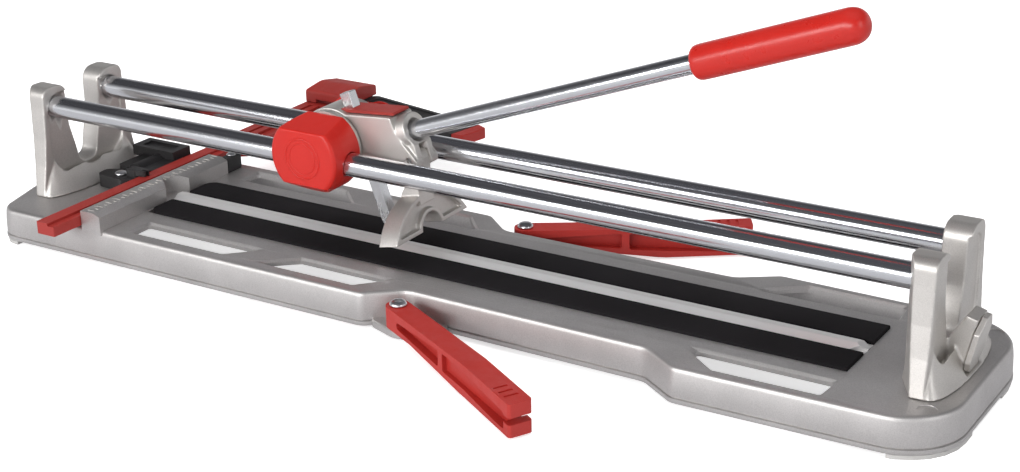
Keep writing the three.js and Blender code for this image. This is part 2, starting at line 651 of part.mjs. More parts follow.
// ---- swing-out tile arms ----
function buildArm(side) {
  const w = armWidth / 2;
  const bend = 4.5 * side;
  const plan = [[-w, -w, w], [armReach * 0.62, -w, 20], [armReach, -w + bend, 1.5], [armReach, w + bend,
    1.5],
    [armReach * 0.62, w, 20], [-w, w, w]];
  const flank = [[-w, lugTop + gap], [w + 24, lugTop + gap, 10], [armReach * 0.6, armFloor, 40],
    [armReach + 1, armFloor, 1], [armReach + 1, armTop, 1], [-w, armTop, 1]];
  let arm = prism(plan, 0, armTop + 4).intersect(sideways(flank, -w - 8, w + 8));
  const shelf = 3.4;
  for (const face of [-1, 1]) {
    const y0 = face < 0 ? -w - 9 : 3.2;
    const y1 = face < 0 ? -3.2 : w + 9;
    const near = sideways([[14, lugTop + 5, 2], [76, armFloor + 8, 2], [76, armTop - shelf, 2], [14,
      armTop - shelf - 3, 2]],
      y0, y1);
    const far = sideways([[82, armFloor + 7, 2], [armReach - 24, armFloor + shelf, 2], [armReach - 8,
      armFloor + shelf, 2],
      [armReach - 8, armTop - shelf - 5, 2], [armReach - 24, armTop - shelf - 4, 2], [82,
        armTop - shelf, 2]],
    y0 + (face > 0 ? bend * 0.5 : 0), y1 + (face < 0 ? bend * 0.5 : 0));
    arm = cut(arm, near, far);
  }
  const jaw = box(armReach - 18, armReach + 2, -w - 9, w + 9, armFloor + 9, armFloor + 14);
  const bore = rod(armScrewRadius + gap, [0, 0, -1], [0, 0, armTop + 5], 24);
  return cut(arm, jaw, bore);
}

for (const [name, side, angle] of [['front', -1, armAngleFront], ['back', 1, armAngleBack]]) {
  const swing = new THREE.Group();
  swing.position.set(armPivotX, side * armPivotY, 0);
  swing.rotation.z = angle * degrees;
  group.add(swing);
  piece(`arm_${name}`, buildArm(side), 'redPlastic', swing);
  const screw = turned([[0, rimBottom], [armScrewRadius, rimBottom], [armScrewRadius, armTop + gap],
    [6.4, armTop + gap], [6.2, armTop + 1.6], [4.8, armTop + 3.1], [2.6, armTop + 3.9], [0,
      armTop + 4.2]], 24);
  screw.rotateX(Math.PI / 2);
  screw.translate(armPivotX, side * armPivotY, 0);
  piece(`arm_screw_${name}`, screw, 'steel');
}

// ---- sliding stop with its fence ----
const stopRight = blockLeft - 0.6;
const stopLeft = stopRight - stopWidth;
const wideLeft = stopLeft - 5;
const wideRight = wideLeft + stopWide;
const stopTop = stopFloor + stopHeight;
const wideStart = blockBack + 40;
const blockStart = stopBack - 50;
const tongueRight = wideLeft + 11;
const fencePivot = [wideLeft + 26, blockStart + 35];

const stopPlan = [[stopLeft, stopFront, 1], [stopRight, stopFront, 1], [stopRight, wideStart - 8, 4],
  [wideRight, wideStart, 2], [wideRight, blockStart + 5, 1], [tongueRight, blockStart + 5, 2],
    [tongueRight, stopBack, 1],
  [wideLeft, stopBack, 1], [wideLeft, wideStart, 2], [stopLeft, wideStart - 8, 4]];
const stopStep = box(stopRight - 6.6, stopRight + 1, stopFront - 1, wideStart - 10, stopTop - 2,
  stopTop + 1);
piece('stop_bar', cut(prism(stopPlan, stopFloor, stopTop), stopStep), 'redPlastic');

const blockPlanX0 = wideLeft;
const blockPlanX1 = wideLeft + 46;
const stopBlock = endways([[blockStart, stopTop + gap], [stopBack, stopTop + gap], [stopBack,
  stopTop + 10, 3],
  [(blockStart + stopBack) / 2, stopTop + 15, 30], [blockStart, stopTop + 12, 3]], blockPlanX0,
    blockPlanX1);
const fenceScrewHole = rod(3.3, [...fencePivot, stopTop - 1], [...fencePivot, stopTop + 7], 20);
piece('stop_block', cut(stopBlock, fenceScrewHole), 'redPlastic');
piece('fence_screw', rod(3, [...fencePivot, stopFloor], [...fencePivot, stopTop + 6], 20), 'steel');

const fence = new THREE.Group();
fence.position.set(fencePivot[0], fencePivot[1], 0);
fence.rotation.z = fenceAngle * degrees;
group.add(fence);

const fenceTipLength = 12;
const fenceJoin = fenceLength - fenceTipLength;
const fencePlan = [[-8, -8, 8], [10, -8, 4], [20, -fenceWidth / 2, 4], [fenceJoin, -fenceWidth / 2, 1],
  [fenceJoin, fenceWidth / 2, 1], [20, fenceWidth / 2, 4], [10, 8, 4], [-8, 8, 8]];
const fenceHole = rod(3.3, [0, 0, stopFloor - 1], [0, 0, stopTop + 1], 20);
piece('fence_arm', cut(prism(fencePlan, stopFloor, stopTop - gap), fenceHole), 'blackPlastic', fence);
const tipPlan = [[fenceJoin + gap, -fenceWidth / 2, 1], [fenceLength, -fenceWidth / 2 + 3, 3],
  [fenceLength, fenceWidth / 2 - 3, 3], [fenceJoin + gap, fenceWidth / 2, 1]];
piece('fence_tip', prism(tipPlan, stopFloor, stopTop - gap), 'redPlastic', fence);

// ---- stop lock and guide ----
const lockX = stopLeft - 20;
const lockY = -4;
const lockFloor = plateTop + gap;
const housingPlan = [[stopLeft - 40, 14, 3], [stopLeft - 2, 14, 3], [stopLeft - 2, blockBack - 8, 3],
  [stopLeft - 40, blockBack - 8, 3]];
const overhang = box(stopLeft - 50, stopLeft - 4, blockBack - 20, blockBack + 2, stopTop - 3, stopTop + 6);
piece('lock_housing', join(prism(housingPlan, lockFloor, stopTop + 2), overhang), 'blackPlastic');

const leverPlan = [[lockX - 19, lockY - 9, 6], [lockX + 8, lockY - 11, 5], [stopLeft - 2.5, lockY - 4, 2],
  [stopLeft - 2.5, lockY + 9, 3], [lockX - 10, lockY + 10, 6], [lockX - 20, lockY + 4, 5]];
const hook = prism([[lockX + 7, lockY - 2, 2], [stopLeft + 6, lockY + 1, 3], [stopLeft + 7, lockY + 8, 3],
  [lockX + 7, lockY + 9, 2]], stopTop + gap, stopTop + 5);
const bridge = prism([[lockX + 7, lockY - 2, 2], [stopLeft - 2, lockY - 1, 3], [stopLeft - 2, lockY + 8, 3],
  [lockX + 7, lockY + 9, 2]], stopTop - 2, stopTop + 5);
const lockHole = rod(3 + gap, [lockX, lockY, 0], [lockX, lockY, stopTop + 10], 20);
piece('lock_lever', cut(join(prism(leverPlan, lockFloor, stopTop - 1), hook, bridge), lockHole),
  'blackPlastic');
const lockHead = stopTop - 1 + gap;
const lockScrew = turned([[0, lockFloor], [3, lockFloor], [3, lockHead], [5, lockHead],
  [4.4, lockHead + 2], [0, lockHead + 2.8]], 20);
lockScrew.rotateX(Math.PI / 2);
lockScrew.translate(lockX, lockY, 0);
piece('lock_screw', lockScrew, 'steel');

const guideX0 = wideRight + 2;
const guidePlan = [[guideX0, blockBack + gap, 1], [blockRight, blockBack + gap, 1], [blockRight,
  blockBack + 20, 3],
  [guideX0, blockBack + 20, 3]];
piece('guide_block', prism(guidePlan, lockFloor, blockTop - 1), 'blackPlastic');
const guideScrew = turned([[0, blockTop - 1 + gap], [4, blockTop - 1 + gap], [3.6, blockTop + 0.4], [0,
  blockTop + 1]], 20);
guideScrew.rotateX(Math.PI / 2);
guideScrew.translate((guideX0 + blockRight) / 2, blockBack + 10, 0);
piece('guide_screw', guideScrew, 'steel');

export default group;
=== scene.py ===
import math

import bmesh
import bpy
from mathutils import Matrix, Vector


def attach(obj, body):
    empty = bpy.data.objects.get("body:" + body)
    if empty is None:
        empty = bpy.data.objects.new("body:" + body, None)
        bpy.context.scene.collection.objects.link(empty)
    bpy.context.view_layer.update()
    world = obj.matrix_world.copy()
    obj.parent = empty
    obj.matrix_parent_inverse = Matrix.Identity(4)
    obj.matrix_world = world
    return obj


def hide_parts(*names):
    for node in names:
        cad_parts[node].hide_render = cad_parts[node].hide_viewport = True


# A rail tile cutter: the looks of every piece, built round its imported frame.
# Sizes are in millimetres and turn into metres when a mesh is made.

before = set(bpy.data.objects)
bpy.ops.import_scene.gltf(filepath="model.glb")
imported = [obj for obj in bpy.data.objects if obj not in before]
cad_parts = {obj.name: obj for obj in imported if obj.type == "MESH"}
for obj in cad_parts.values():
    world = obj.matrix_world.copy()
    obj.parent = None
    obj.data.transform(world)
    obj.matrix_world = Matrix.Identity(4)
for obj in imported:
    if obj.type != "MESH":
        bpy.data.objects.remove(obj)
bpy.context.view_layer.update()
mm = 0.001
degree = math.pi / 180


# ---- shapes ----

def meshObject(name, points, faces):
    mesh = bpy.data.meshes.new(name)
    mesh.from_pydata([Vector(p) * mm for p in points], [], faces)
    obj = bpy.data.objects.new(name, mesh)
    bpy.context.scene.collection.objects.link(obj)
    tidyNormals(obj)
    return obj


def tidyNormals(obj, merge=0.00001):
    bm = bmesh.new()
    bm.from_mesh(obj.data)
    bmesh.ops.remove_doubles(bm, verts=bm.verts, dist=merge)
    bmesh.ops.recalc_face_normals(bm, faces=bm.faces)
    bm.to_mesh(obj.data)
    bm.free()
    return obj


def outline(corners, step=6 * degree):
    # corners are (x, y, radius); each one is rounded by its radius
    points = []
    for index, corner in enumerate(corners):
        here = Vector(corner[:2])
        back = Vector(corners[index - 1][:2]) - here
        ahead = Vector(corners[(index + 1) % len(corners)][:2]) - here
        radius = corner[2] if len(corner) > 2 else 0
        half = back.angle(ahead) / 2
        setback = min(radius / math.tan(half), 0.48 * min(back.length, ahead.length)) if radius else 0
        if setback < 0.001:
            points.append(here)
            continue
        bisector = (back.normalized() + ahead.normalized()).normalized()
        centre = here + bisector * (setback * math.tan(half) / math.sin(half))
        first = here + back.normalized() * setback - centre
        last = here + ahead.normalized() * setback - centre
        sweep = math.atan2(first.x * last.y - first.y * last.x, first.dot(last))
        count = max(1, round(abs(sweep) / step))
        for part in range(count + 1):
            points.append(centre + Matrix.Rotation(sweep * part / count, 2) @ first)
    return points


def inset(corners, distance):
    # moves a counterclockwise outline inwards
    moved = []
    for index, corner in enumerate(corners):
        here = Vector(corner[:2])
        before = (here - Vector(corners[index - 1][:2])).normalized()
        after = (Vector(corners[(index + 1) % len(corners)][:2]) - here).normalized()
        turn = before.x * after.y - before.y * after.x
        share = distance / (1 + before.dot(after))
        radius = max(0.5, (corner[2] if len(corner) > 2 else 0) - math.copysign(distance, turn))
        moved.append((here.x - share * (before.y + after.y), here.y + share * (before.x + after.x), radius))
    return moved


def flip(corners):
    return [(x, -y, *rest) for x, y, *rest in reversed(corners)]


def loft(name, rings):
    # closed skin through rings that all have the same number of points
    size = len(rings[0])
    points = [p for ring in rings for p in ring]
    faces = [tuple(reversed(range(size))), tuple(range(len(points) - size, len(points)))]
    for level in range(len(rings) - 1):
        for index in range(size):
            after = (index + 1) % size
            faces.append((level * size + index, level * size + after, (level + 1) * size + after,
                          (level + 1) * size + index))
    return meshObject(name, points, faces)


def prism(name, corners, z0, z1):
    flat = outline(corners)
    return loft(name, [[(p.x, p.y, z) for p in flat] for z in (z0, z1)])


def sideways(name, corners, y0, y1):
    flat = outline(corners)
    return loft(name, [[(p.x, y, p.y) for p in flat] for y in (y0, y1)])


def endways(name, corners, x0, x1):
    flat = outline(corners)
    return loft(name, [[(x, p.x, p.y) for p in flat] for x in (x0, x1)])


def block(name, x0, x1, y0, y1, z0, z1):
    return loft(name, [[(x0, y0, z), (x1, y0, z), (x1, y1, z), (x0, y1, z)] for z in (z0, z1)])


def turned(name, profile, start=(0, 0, 0), axis=(0, 0, 1), segments=64):
    # profile is (radius, height) along the axis, from the axis back to the axis, or closed on itself
    turn = Vector((0, 0, 1)).rotation_difference(Vector(axis)).to_matrix()
    points, faces, rows = [], [], []
    for radius, height in profile:
        if radius < 0.001:
            rows.append([len(points)])
            points.append(turn @ Vector((0, 0, height)) + Vector(start))
            continue
        rows.append(list(range(len(points), len(points) + segments)))
        for index in range(segments):
            angle = 2 * math.pi * index / segments
            spot = Vector((radius * math.cos(angle), radius * math.sin(angle), height))
            points.append(turn @ spot + Vector(start))
    closed = profile[0][0] > 0.001
    pairs = list(zip(rows, rows[1:])) + ([(rows[-1], rows[0])] if closed else [])
    for low, high in pairs:
        for index in range(segments):
            after = (index + 1) % segments
            face = [low[index % len(low)], low[after % len(low)], high[after % len(high)],
                    high[index % len(high)]]
            face = list(dict.fromkeys(face))
            if len(face) > 2:
                faces.append(tuple(face))
    return meshObject(name, points, faces)


def rod(name, radius, start, end, segments=64, edge=0.0):
    along = Vector(end) - Vector(start)
    length = along.length
    profile = [(0, 0), (radius, 0), (radius, length), (0, length)]
    if edge:
        profile = [(0, 0), (radius - edge, 0), (radius, edge), (radius, length - edge),
                   (radius - edge, length), (0, length)]
    return turned(name, profile, start, along.normalized(), segments)


def bake(obj):
    graph = bpy.context.evaluated_depsgraph_get()
    mesh = bpy.data.meshes.new_from_object(obj.evaluated_get(graph))
    obj.modifiers.clear()
    obj.data = mesh
    return obj


def combine(target, tools, operation):
    for tool in tools:
        modifier = target.modifiers.new("combine", "BOOLEAN")
        modifier.operation = operation
        modifier.solver = "EXACT"
        modifier.object = tool
        bake(target)
        bpy.data.objects.remove(tool)
    return target


def join(target, *tools):
    return combine(target, tools, "UNION")


def cut(target, *tools):
    return combine(target, tools, "DIFFERENCE")


def keep(target, *tools):
    return combine(target, tools, "INTERSECT")


def place(obj, matrix):
    # matrix works in millimetres
    scale = Matrix.Scale(mm, 4)
    obj.data.transform(scale @ matrix @ scale.inverted())
    return obj


def merge(name, objects):
    bm = bmesh.new()
    for obj in objects:
        bm.from_mesh(obj.data)
    mesh = bpy.data.meshes.new(name)
    bm.to_mesh(mesh)
    bm.free()
    for obj in objects:
        bpy.data.objects.remove(obj)
    whole = bpy.data.objects.new(name, mesh)
    bpy.context.scene.collection.objects.link(whole)
    return whole


def smooth(obj):
    obj.data.polygons.foreach_set("use_smooth", [True] * len(obj.data.polygons))
    obj.data.update()
    return obj


def soften(obj, voxel, rounds=6, share=0.35):
    # turns a built-up solid into one skin with the rounded edges and fillets of a casting
    remesh = obj.modifiers.new("skin", "REMESH")
    remesh.mode = "VOXEL"
    remesh.voxel_size = voxel * mm
    relax = obj.modifiers.new("relax", "SMOOTH")
    relax.factor = 0.5
    relax.iterations = rounds
    thin = obj.modifiers.new("thin", "DECIMATE")
    thin.ratio = share
    return smooth(bake(obj))


def easeEdges(obj, width, segments=3, angle=30):
    bm = bmesh.new()
    bm.from_mesh(obj.data)
    bmesh.ops.remove_doubles(bm, verts=bm.verts, dist=0.00002)
    bmesh.ops.dissolve_limit(bm, angle_limit=0.6 * degree, verts=bm.verts, edges=bm.edges)
    bm.to_mesh(obj.data)
    bm.free()
    smooth(obj)
    bevel = obj.modifiers.new("edges", "BEVEL")
    bevel.width = width * mm
    bevel.segments = segments
    bevel.limit_method = "ANGLE"
    bevel.angle_limit = angle * degree
    bevel.harden_normals = True
    return bake(obj)


def piece(obj, name, body, slot, material, *nodes):
    obj.name = name
    obj.data.name = name
    obj.data.materials.clear()
    obj.data.materials.append(material)
    for polygon in obj.data.polygons:
        polygon.material_index = 0
    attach(obj, body)
    if nodes:
        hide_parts(*nodes)
    return obj


# ---- materials ----

def nodeMaterial(name, settings):
    material = bpy.data.materials.new(name)
    material.use_nodes = True
    nodes, links = material.node_tree.nodes, material.node_tree.links
    shader = nodes["Principled BSDF"]
    for socket, value in settings.items():
        shader.inputs[socket].default_value = value
    place3d = nodes.new("ShaderNodeTexCoord")
    return material, nodes, links, shader, place3d.outputs["Object"]


def noise(nodes, links, place3d, scale, detail=3, rough=0.6):
    node = nodes.new("ShaderNodeTexNoise")
    node.inputs["Scale"].default_value = scale
    node.inputs["Detail"].default_value = detail
    node.inputs["Roughness"].default_value = rough
    links.new(place3d, node.inputs["Vector"])
    return node.outputs["Fac"]


def ramp(nodes, links, value, stops):
    node = nodes.new("ShaderNodeValToRGB")
    elements = node.color_ramp.elements
    while len(elements) < len(stops):
        elements.new(0.5)
    for element, (position, colour) in zip(elements, stops):
        element.position = position
        element.color = (*colour, 1) if len(colour) == 3 else colour
    links.new(value, node.inputs["Fac"])
    return node.outputs["Color"]


def mixColour(nodes, links, mode, amount, first, second):
    node = nodes.new("ShaderNodeMix")
    node.data_type = "RGBA"
    node.blend_type = mode
    node.inputs["Factor"].default_value = amount
    links.new(first, node.inputs[6])
    links.new(second, node.inputs[7])
    return node.outputs[2]


def bump(nodes, links, height, shader, strength, distance, under=None):
    node = nodes.new("ShaderNodeBump")
    node.inputs["Strength"].default_value = strength
    node.inputs["Distance"].default_value = distance * mm
    links.new(height, node.inputs["Height"])
    if under is not None:
        links.new(under, node.inputs["Normal"])
    links.new(node.outputs["Normal"], shader.inputs["Normal"])
    return node.outputs["Normal"]


def castMetal(name, tone, metallic, grain):
    # fine blasted casting: grain, faint flow mottling and pinholes
    material, nodes, links, shader, spot = nodeMaterial(name, {"Metallic": metallic, "Roughness": 0.45})
    fine = noise(nodes, links, spot, grain, 4, 0.7)
    broad = noise(nodes, links, spot, 26, 3, 0.55)
    base = ramp(nodes, links, broad, [(0.3, [c * 0.93 for c in tone]),
                                      (0.7, [min(1, c * 1.05) for c in tone])])
    speck = ramp(nodes, links, fine, [(0.28, (0.78, 0.78, 0.78)), (0.6, (1.0, 1.0, 1.0))])
    links.new(mixColour(nodes, links, "MULTIPLY", 0.75, base, speck), shader.inputs["Base Color"])
    rough = ramp(nodes, links, fine, [(0.3, (0.56,) * 3), (0.75, (0.38,) * 3)])
    links.new(rough, shader.inputs["Roughness"])
    pits = nodes.new("ShaderNodeTexVoronoi")
    pits.inputs["Scale"].default_value = grain * 0.32
    links.new(spot, pits.inputs["Vector"])
    pitted = ramp(nodes, links, pits.outputs["Distance"], [(0.04, (0, 0, 0)), (0.16, (1, 1, 1))])
    first = bump(nodes, links, fine, shader, 0.5, 0.12)
    bump(nodes, links, pitted, shader, 0.16, 0.10, first)
    return material


def chromeMetal(name, tone, roughness, brush, depth=0.02, metallic=1.0):
    # polished bar: faint lengthwise grinding lines
    settings = {"Metallic": metallic, "Roughness": roughness}
    material, nodes, links, shader, spot = nodeMaterial(name, settings)
    stretch = nodes.new("ShaderNodeMapping")
    stretch.inputs["Scale"].default_value = brush
    links.new(spot, stretch.inputs["Vector"])
    lines = noise(nodes, links, stretch.outputs["Vector"], 1.0, 4, 0.6)
    colour = ramp(nodes, links, lines, [(0.35, [c * 0.93 for c in tone]), (0.7, tone)])
    links.new(colour, shader.inputs["Base Color"])
    rough = ramp(nodes, links, lines, [(0.3, (roughness * 0.7,) * 3), (0.75, (roughness * 1.5,) * 3)])
    links.new(rough, shader.inputs["Roughness"])
    bump(nodes, links, lines, shader, 0.05, depth)
    return material


def mouldedPlastic(name, tone, roughness, grain, depth, mottling=0.08):
    # moulded plastic: spark-eroded grain, slight flow colour, rubbed roughness
    settings = {"Roughness": roughness, "Specular IOR Level": 0.45}
    material, nodes, links, shader, spot = nodeMaterial(name, settings)
    fine = noise(nodes, links, spot, grain, 3, 0.65)
    broad = noise(nodes, links, spot, 18, 2, 0.5)
    colour = ramp(nodes, links, broad, [(0.3, [c * (1 - mottling) for c in tone]),
                                        (0.7, [c * (1 + mottling) for c in tone])])
    speck = ramp(nodes, links, fine, [(0.3, (0.88, 0.88, 0.88)), (0.62, (1.0, 1.0, 1.0))])
    links.new(mixColour(nodes, links, "MULTIPLY", 0.6, colour, speck), shader.inputs["Base Color"])
    rubbed = noise(nodes, links, spot, 45, 4, 0.7)
    rough = ramp(nodes, links, rubbed, [(0.3, (roughness * 0.82,) * 3),
                                        (0.7, (min(1, roughness * 1.2),) * 3)])
    links.new(rough, shader.inputs["Roughness"])
    bump(nodes, links, fine, shader, 0.35, depth)
    return material


def spongeRubber(name, tone):
    settings = {"Roughness": 0.92, "Specular IOR Level": 0.12}
    material, nodes, links, shader, spot = nodeMaterial(name, settings)
    fine = noise(nodes, links, spot, 1500, 4, 0.7)
    dust = noise(nodes, links, spot, 420, 5, 0.75)
    colour = ramp(nodes, links, noise(nodes, links, spot, 14, 3, 0.5),
                  [(0.35, tone), (0.7, [c * 1.5 for c in tone])])
    lint = ramp(nodes, links, dust, [(0.68, (1.0, 1.0, 1.0)), (0.75, (3.2, 3.1, 3.0))])
    links.new(mixColour(nodes, links, "MULTIPLY", 0.8, colour, lint), shader.inputs["Base Color"])
    bump(nodes, links, fine, shader, 0.5, 0.12)
    return material


castBase = castMetal("castBase", (0.62, 0.60, 0.59), 0.88, 1300)
castBright = castMetal("castBright", (0.68, 0.655, 0.625), 0.85, 1500)
machined = chromeMetal("machinedAluminium", (0.90, 0.89, 0.88), 0.32, (3, 60, 60), 0.001, 0.66)
chrome = chromeMetal("hardChrome", (0.78, 0.79, 0.82), 0.17, (3, 500, 500), 0.004)
zinc = chromeMetal("brightZinc", (0.70, 0.71, 0.73), 0.26, (30, 30, 12), 0.001)
bronze = castMetal("sinteredBronze", (0.62, 0.42, 0.22), 0.9, 1800)
carbide = chromeMetal("groundCarbide", (0.42, 0.42, 0.44), 0.25, (400, 400, 400))
rubber = spongeRubber("spongeRubber", (0.010, 0.009, 0.010))
greyRubber = mouldedPlastic("greyRubber", (0.50, 0.49, 0.475), 0.6, 1300, 0.05)
blackPlastic = mouldedPlastic("blackPlastic", (0.018, 0.017, 0.018), 0.48, 1400, 0.06, 0.2)
armRed = mouldedPlastic("armRed", (0.40, 0.022, 0.016), 0.50, 1500, 0.05)
stopRed = mouldedPlastic("stopRed", (0.33, 0.026, 0.020), 0.55, 1500, 0.05)
capRed = mouldedPlastic("capRed", (0.52, 0.012, 0.006), 0.36, 1200, 0.03, 0.04)
gripRed = mouldedPlastic("gripRed", (0.50, 0.016, 0.010), 0.30, 1100, 0.03, 0.04)
print("materials made")


# ---- base casting ----
base = {
    "left": -406, "right": 416, "half": 92, "top": 29.5, "floor": 24.5, "bottom": 3.3, "wall": 5,
    "boltX": 380,
    "recessStart": 4, "recessEnd": 200, "recessDepth": 22, "pivotX": 9.7, "pivotY": 88, "lugTop": 9.6,
}
frontSide = [
    (base["left"], -28, 34),
    (base["left"] + 19, -base["half"] - 1.5, 20),
    (base["pivotX"] - 32, -base["half"], 12),
    (base["recessStart"], -base["half"] + base["recessDepth"], 14),
    (base["recessEnd"], -base["half"] + base["recessDepth"] - 2, 14),
    (base["recessEnd"] + 29, -base["half"] + 1, 12),
    (base["right"], -base["half"] + 5, 45),
]
basePlan = frontSide + flip(frontSide)
windowPlans = [
    [(-254, -79.5, 3), (-160, -79.5, 4), (-138, -58, 3), (-254, -58, 3)],
    [(-126, -79.5, 3), (-37, -79.5, 4), (-17, -58, 3), (-101, -58, 3)],
    [(255, -79.5, 6), (329, -78.5, 4), (331, -56, 3), (224, -56, 4)],
]
wallProfile = [
    (1.6, base["bottom"]), (0.5, 3.6), (0.1, 4.6), (0.1, 6.9), (0.5, 7.3),
    (1.5, 7.5), (1.5, 8.0), (0.7, 8.3), (0.5, 9.0), (0.9, 20),
    (1.5, 25.6), (1.9, 27.6), (2.7, 28.8), (3.9, 29.4), (5.2, 29.5),
]
scale = {"x0": -294, "x1": -274, "top": 44, "back": 64, "front": -92.6, "notchHalf": 15.2, "notchDepth": 17}


def ringAt(corners, distance, z):
    return [(p.x, p.y, z) for p in outline(inset(corners, distance))]


def buildBase():
    casting = loft("base", [ringAt(basePlan, d, z) for d, z in wallProfile])
    cut(casting, prism("hollow", inset(basePlan, base["wall"] + 0.6), 0, base["floor"]))
    windows = windowPlans + [flip(plan) for plan in windowPlans]
    cut(casting, *[prism("window", plan, 0, 31) for plan in windows])
    for plan in windows:
        rings = [[(p.x, p.y, z) for p in outline(inset(plan, d))] for d, z in [(0.2, 27.4), (-2.0, 29.9)]]
        cut(casting, loft("lead", rings))
    crest = block("crest", scale["x0"], scale["x1"], scale["front"], scale["back"], 26, scale["top"])
    cut(crest, sideways("chamfer", [(-282, 45), (-273, 41), (-273, 45)], -100, 65))
    notch = [(scale["x1"] - scale["notchDepth"], 0),
             (scale["x1"] + 1, -scale["notchHalf"]),
             (scale["x1"] + 1, scale["notchHalf"])]
    cut(crest, prism("notch", notch, base["top"] + 0.2, 45))
    join(casting, crest)
    cut(casting, block("pocket", -272.3, 332.3, -39.8, 39.8, 27.2, 31))
    for side in (-1, 1):
        plan = [(base["pivotX"] - 32, -86, 6), (base["pivotX"] - 1, -97, 10), (base["pivotX"] + 11, -96, 10),
                (base["pivotX"] + 42, -69, 6), (base["pivotX"] - 10, -69, 2)]
        lug = loft("lug", [[(p.x, p.y, z) for p in outline(inset(plan if side < 0 else flip(plan), d))]
                           for d, z in [(0.6, base["bottom"]), (0, 4), (0, 8.6), (0.9, base["lugTop"])]])
        join(casting, lug)
        y = side * base["pivotY"]
        cut(casting, rod("hole", 4.3, (base["pivotX"], y, 0), (base["pivotX"], y, 11)))
    join(casting, rod("boss", 14, (0, 0, base["bottom"]), (0, 0, 25)))
    for y in (-70, 10, 74):
        join(casting, block("slide", -311, -297, y - 6, y + 6, 28, 31.2))
    for x in (-base["boltX"], base["boltX"]):
        cut(casting, *[rod("bolt", 4.3, (x, y, 20), (x, y, 31), 32) for y in (-32.4, 32.4)])
    for side in (-1, 1):
        cut(casting, turned("spot", [(0, -0.5), (6.5, -0.5), (6.8, 1), (0, 1)],
                            (396, side * 66, base["top"])))
    return easeEdges(casting, 0.45, 2, 38)


casting = piece(buildBase(), "base", "frame", "cast", castBase, "base_casting")
print("base made", len(casting.data.polygons))


# ---- scale ticks and figures ----
tickSettings = {"Count": 31, "Spacing": 0.005, "Long": 0.0065, "Short": 0.0032, "Width": 0.0009,
                "Height": 0.0010}


def tickTree(material):
    tree = bpy.data.node_groups.new("scaleTicks", "GeometryNodeTree")
    sockets = {}
    for label, value in tickSettings.items():
        kind = "NodeSocketInt" if label == "Count" else "NodeSocketFloat"
        sockets[label] = tree.interface.new_socket(label, in_out="INPUT", socket_type=kind).identifier
    tree.interface.new_socket("Geometry", in_out="OUTPUT", socket_type="NodeSocketGeometry")
    nodes, links = tree.nodes, tree.links
    source, sink = nodes.new("NodeGroupInput"), nodes.new("NodeGroupOutput")
    step = nodes.new("ShaderNodeCombineXYZ")
    links.new(source.outputs["Spacing"], step.inputs["Y"])
    row = nodes.new("GeometryNodeMeshLine")
    links.new(source.outputs["Count"], row.inputs["Count"])
    links.new(step.outputs["Vector"], row.inputs["Offset"])
    index = nodes.new("GeometryNodeInputIndex")
    parity = nodes.new("ShaderNodeMath")
    parity.operation = "MODULO"
    parity.inputs[1].default_value = 2
    links.new(index.outputs["Index"], parity.inputs[0])
    length = nodes.new("ShaderNodeMapRange")
    links.new(parity.outputs["Value"], length.inputs["Value"])
    links.new(source.outputs["Long"], length.inputs["To Min"])
    links.new(source.outputs["Short"], length.inputs["To Max"])
    size = nodes.new("ShaderNodeCombineXYZ")
    links.new(length.outputs["Result"], size.inputs["X"])
    links.new(source.outputs["Width"], size.inputs["Y"])
    links.new(source.outputs["Height"], size.inputs["Z"])
    shift = nodes.new("ShaderNodeVectorMath")
    shift.operation = "MULTIPLY"
    shift.inputs[1].default_value = (-0.5, 0, 0)
    links.new(size.outputs["Vector"], shift.inputs[0])
    moved = nodes.new("GeometryNodeSetPosition")
    links.new(row.outputs["Mesh"], moved.inputs["Geometry"])
    links.new(shift.outputs["Vector"], moved.inputs["Offset"])
    tick = nodes.new("GeometryNodeMeshCube")
    tick.inputs["Size"].default_value = (1, 1, 1)
    scatter = nodes.new("GeometryNodeInstanceOnPoints")
    links.new(moved.outputs["Geometry"], scatter.inputs["Points"])
    links.new(tick.outputs["Mesh"], scatter.inputs["Instance"])
    links.new(size.outputs["Vector"], scatter.inputs["Scale"])
    real = nodes.new("GeometryNodeRealizeInstances")
    links.new(scatter.outputs["Instances"], real.inputs["Geometry"])
    paint = nodes.new("GeometryNodeSetMaterial")
    paint.inputs["Material"].default_value = material
    links.new(real.outputs["Geometry"], paint.inputs["Geometry"])
    links.new(paint.outputs["Geometry"], sink.inputs["Geometry"])
    return tree, sockets


def buildTicks():
    holder = meshObject("ticks", [(0, 0, 0)], [])
    tree, sockets = tickTree(castBright)
    modifier = holder.modifiers.new("ticks", "NODES")
    modifier.node_group = tree
    for label, value in tickSettings.items():
        modifier[sockets[label]] = value
    bake(holder)
    return place(holder, Matrix.Translation((-283.2, -88, scale["top"])))


def figure(text, size, spot, turnAngle):
    curve = bpy.data.curves.new("figure", "FONT")
    curve.body = text
    curve.size = size * mm
    curve.extrude = 0.25 * mm
    curve.align_x = "CENTER"
    holder = bpy.data.objects.new("figure", curve)
    bpy.context.scene.collection.objects.link(holder)
    graph = bpy.context.evaluated_depsgraph_get()
    mesh = bpy.data.meshes.new_from_object(holder.evaluated_get(graph))
    bpy.data.objects.remove(holder)
    shape = bpy.data.objects.new("figure", mesh)
    bpy.context.scene.collection.objects.link(shape)
    return place(shape, Matrix.Translation(spot) @ Matrix.Rotation(turnAngle, 4, "Z"))


figures = [figure(str(abs(round(y / 10))), 3.4, (-289.4, y + 1.2, scale["top"]), math.pi / 2)
           for y in range(-80, 61, 20) if y]
# the raised ticks and figures take the brighter cast finish, lighter than the block they stand on: a painted
# highlight on their tops
ticks = merge("scaleMarks", [buildTicks()] + figures)
piece(ticks, "scaleMarks", "frame", "cast", castBright)
print("scale made")


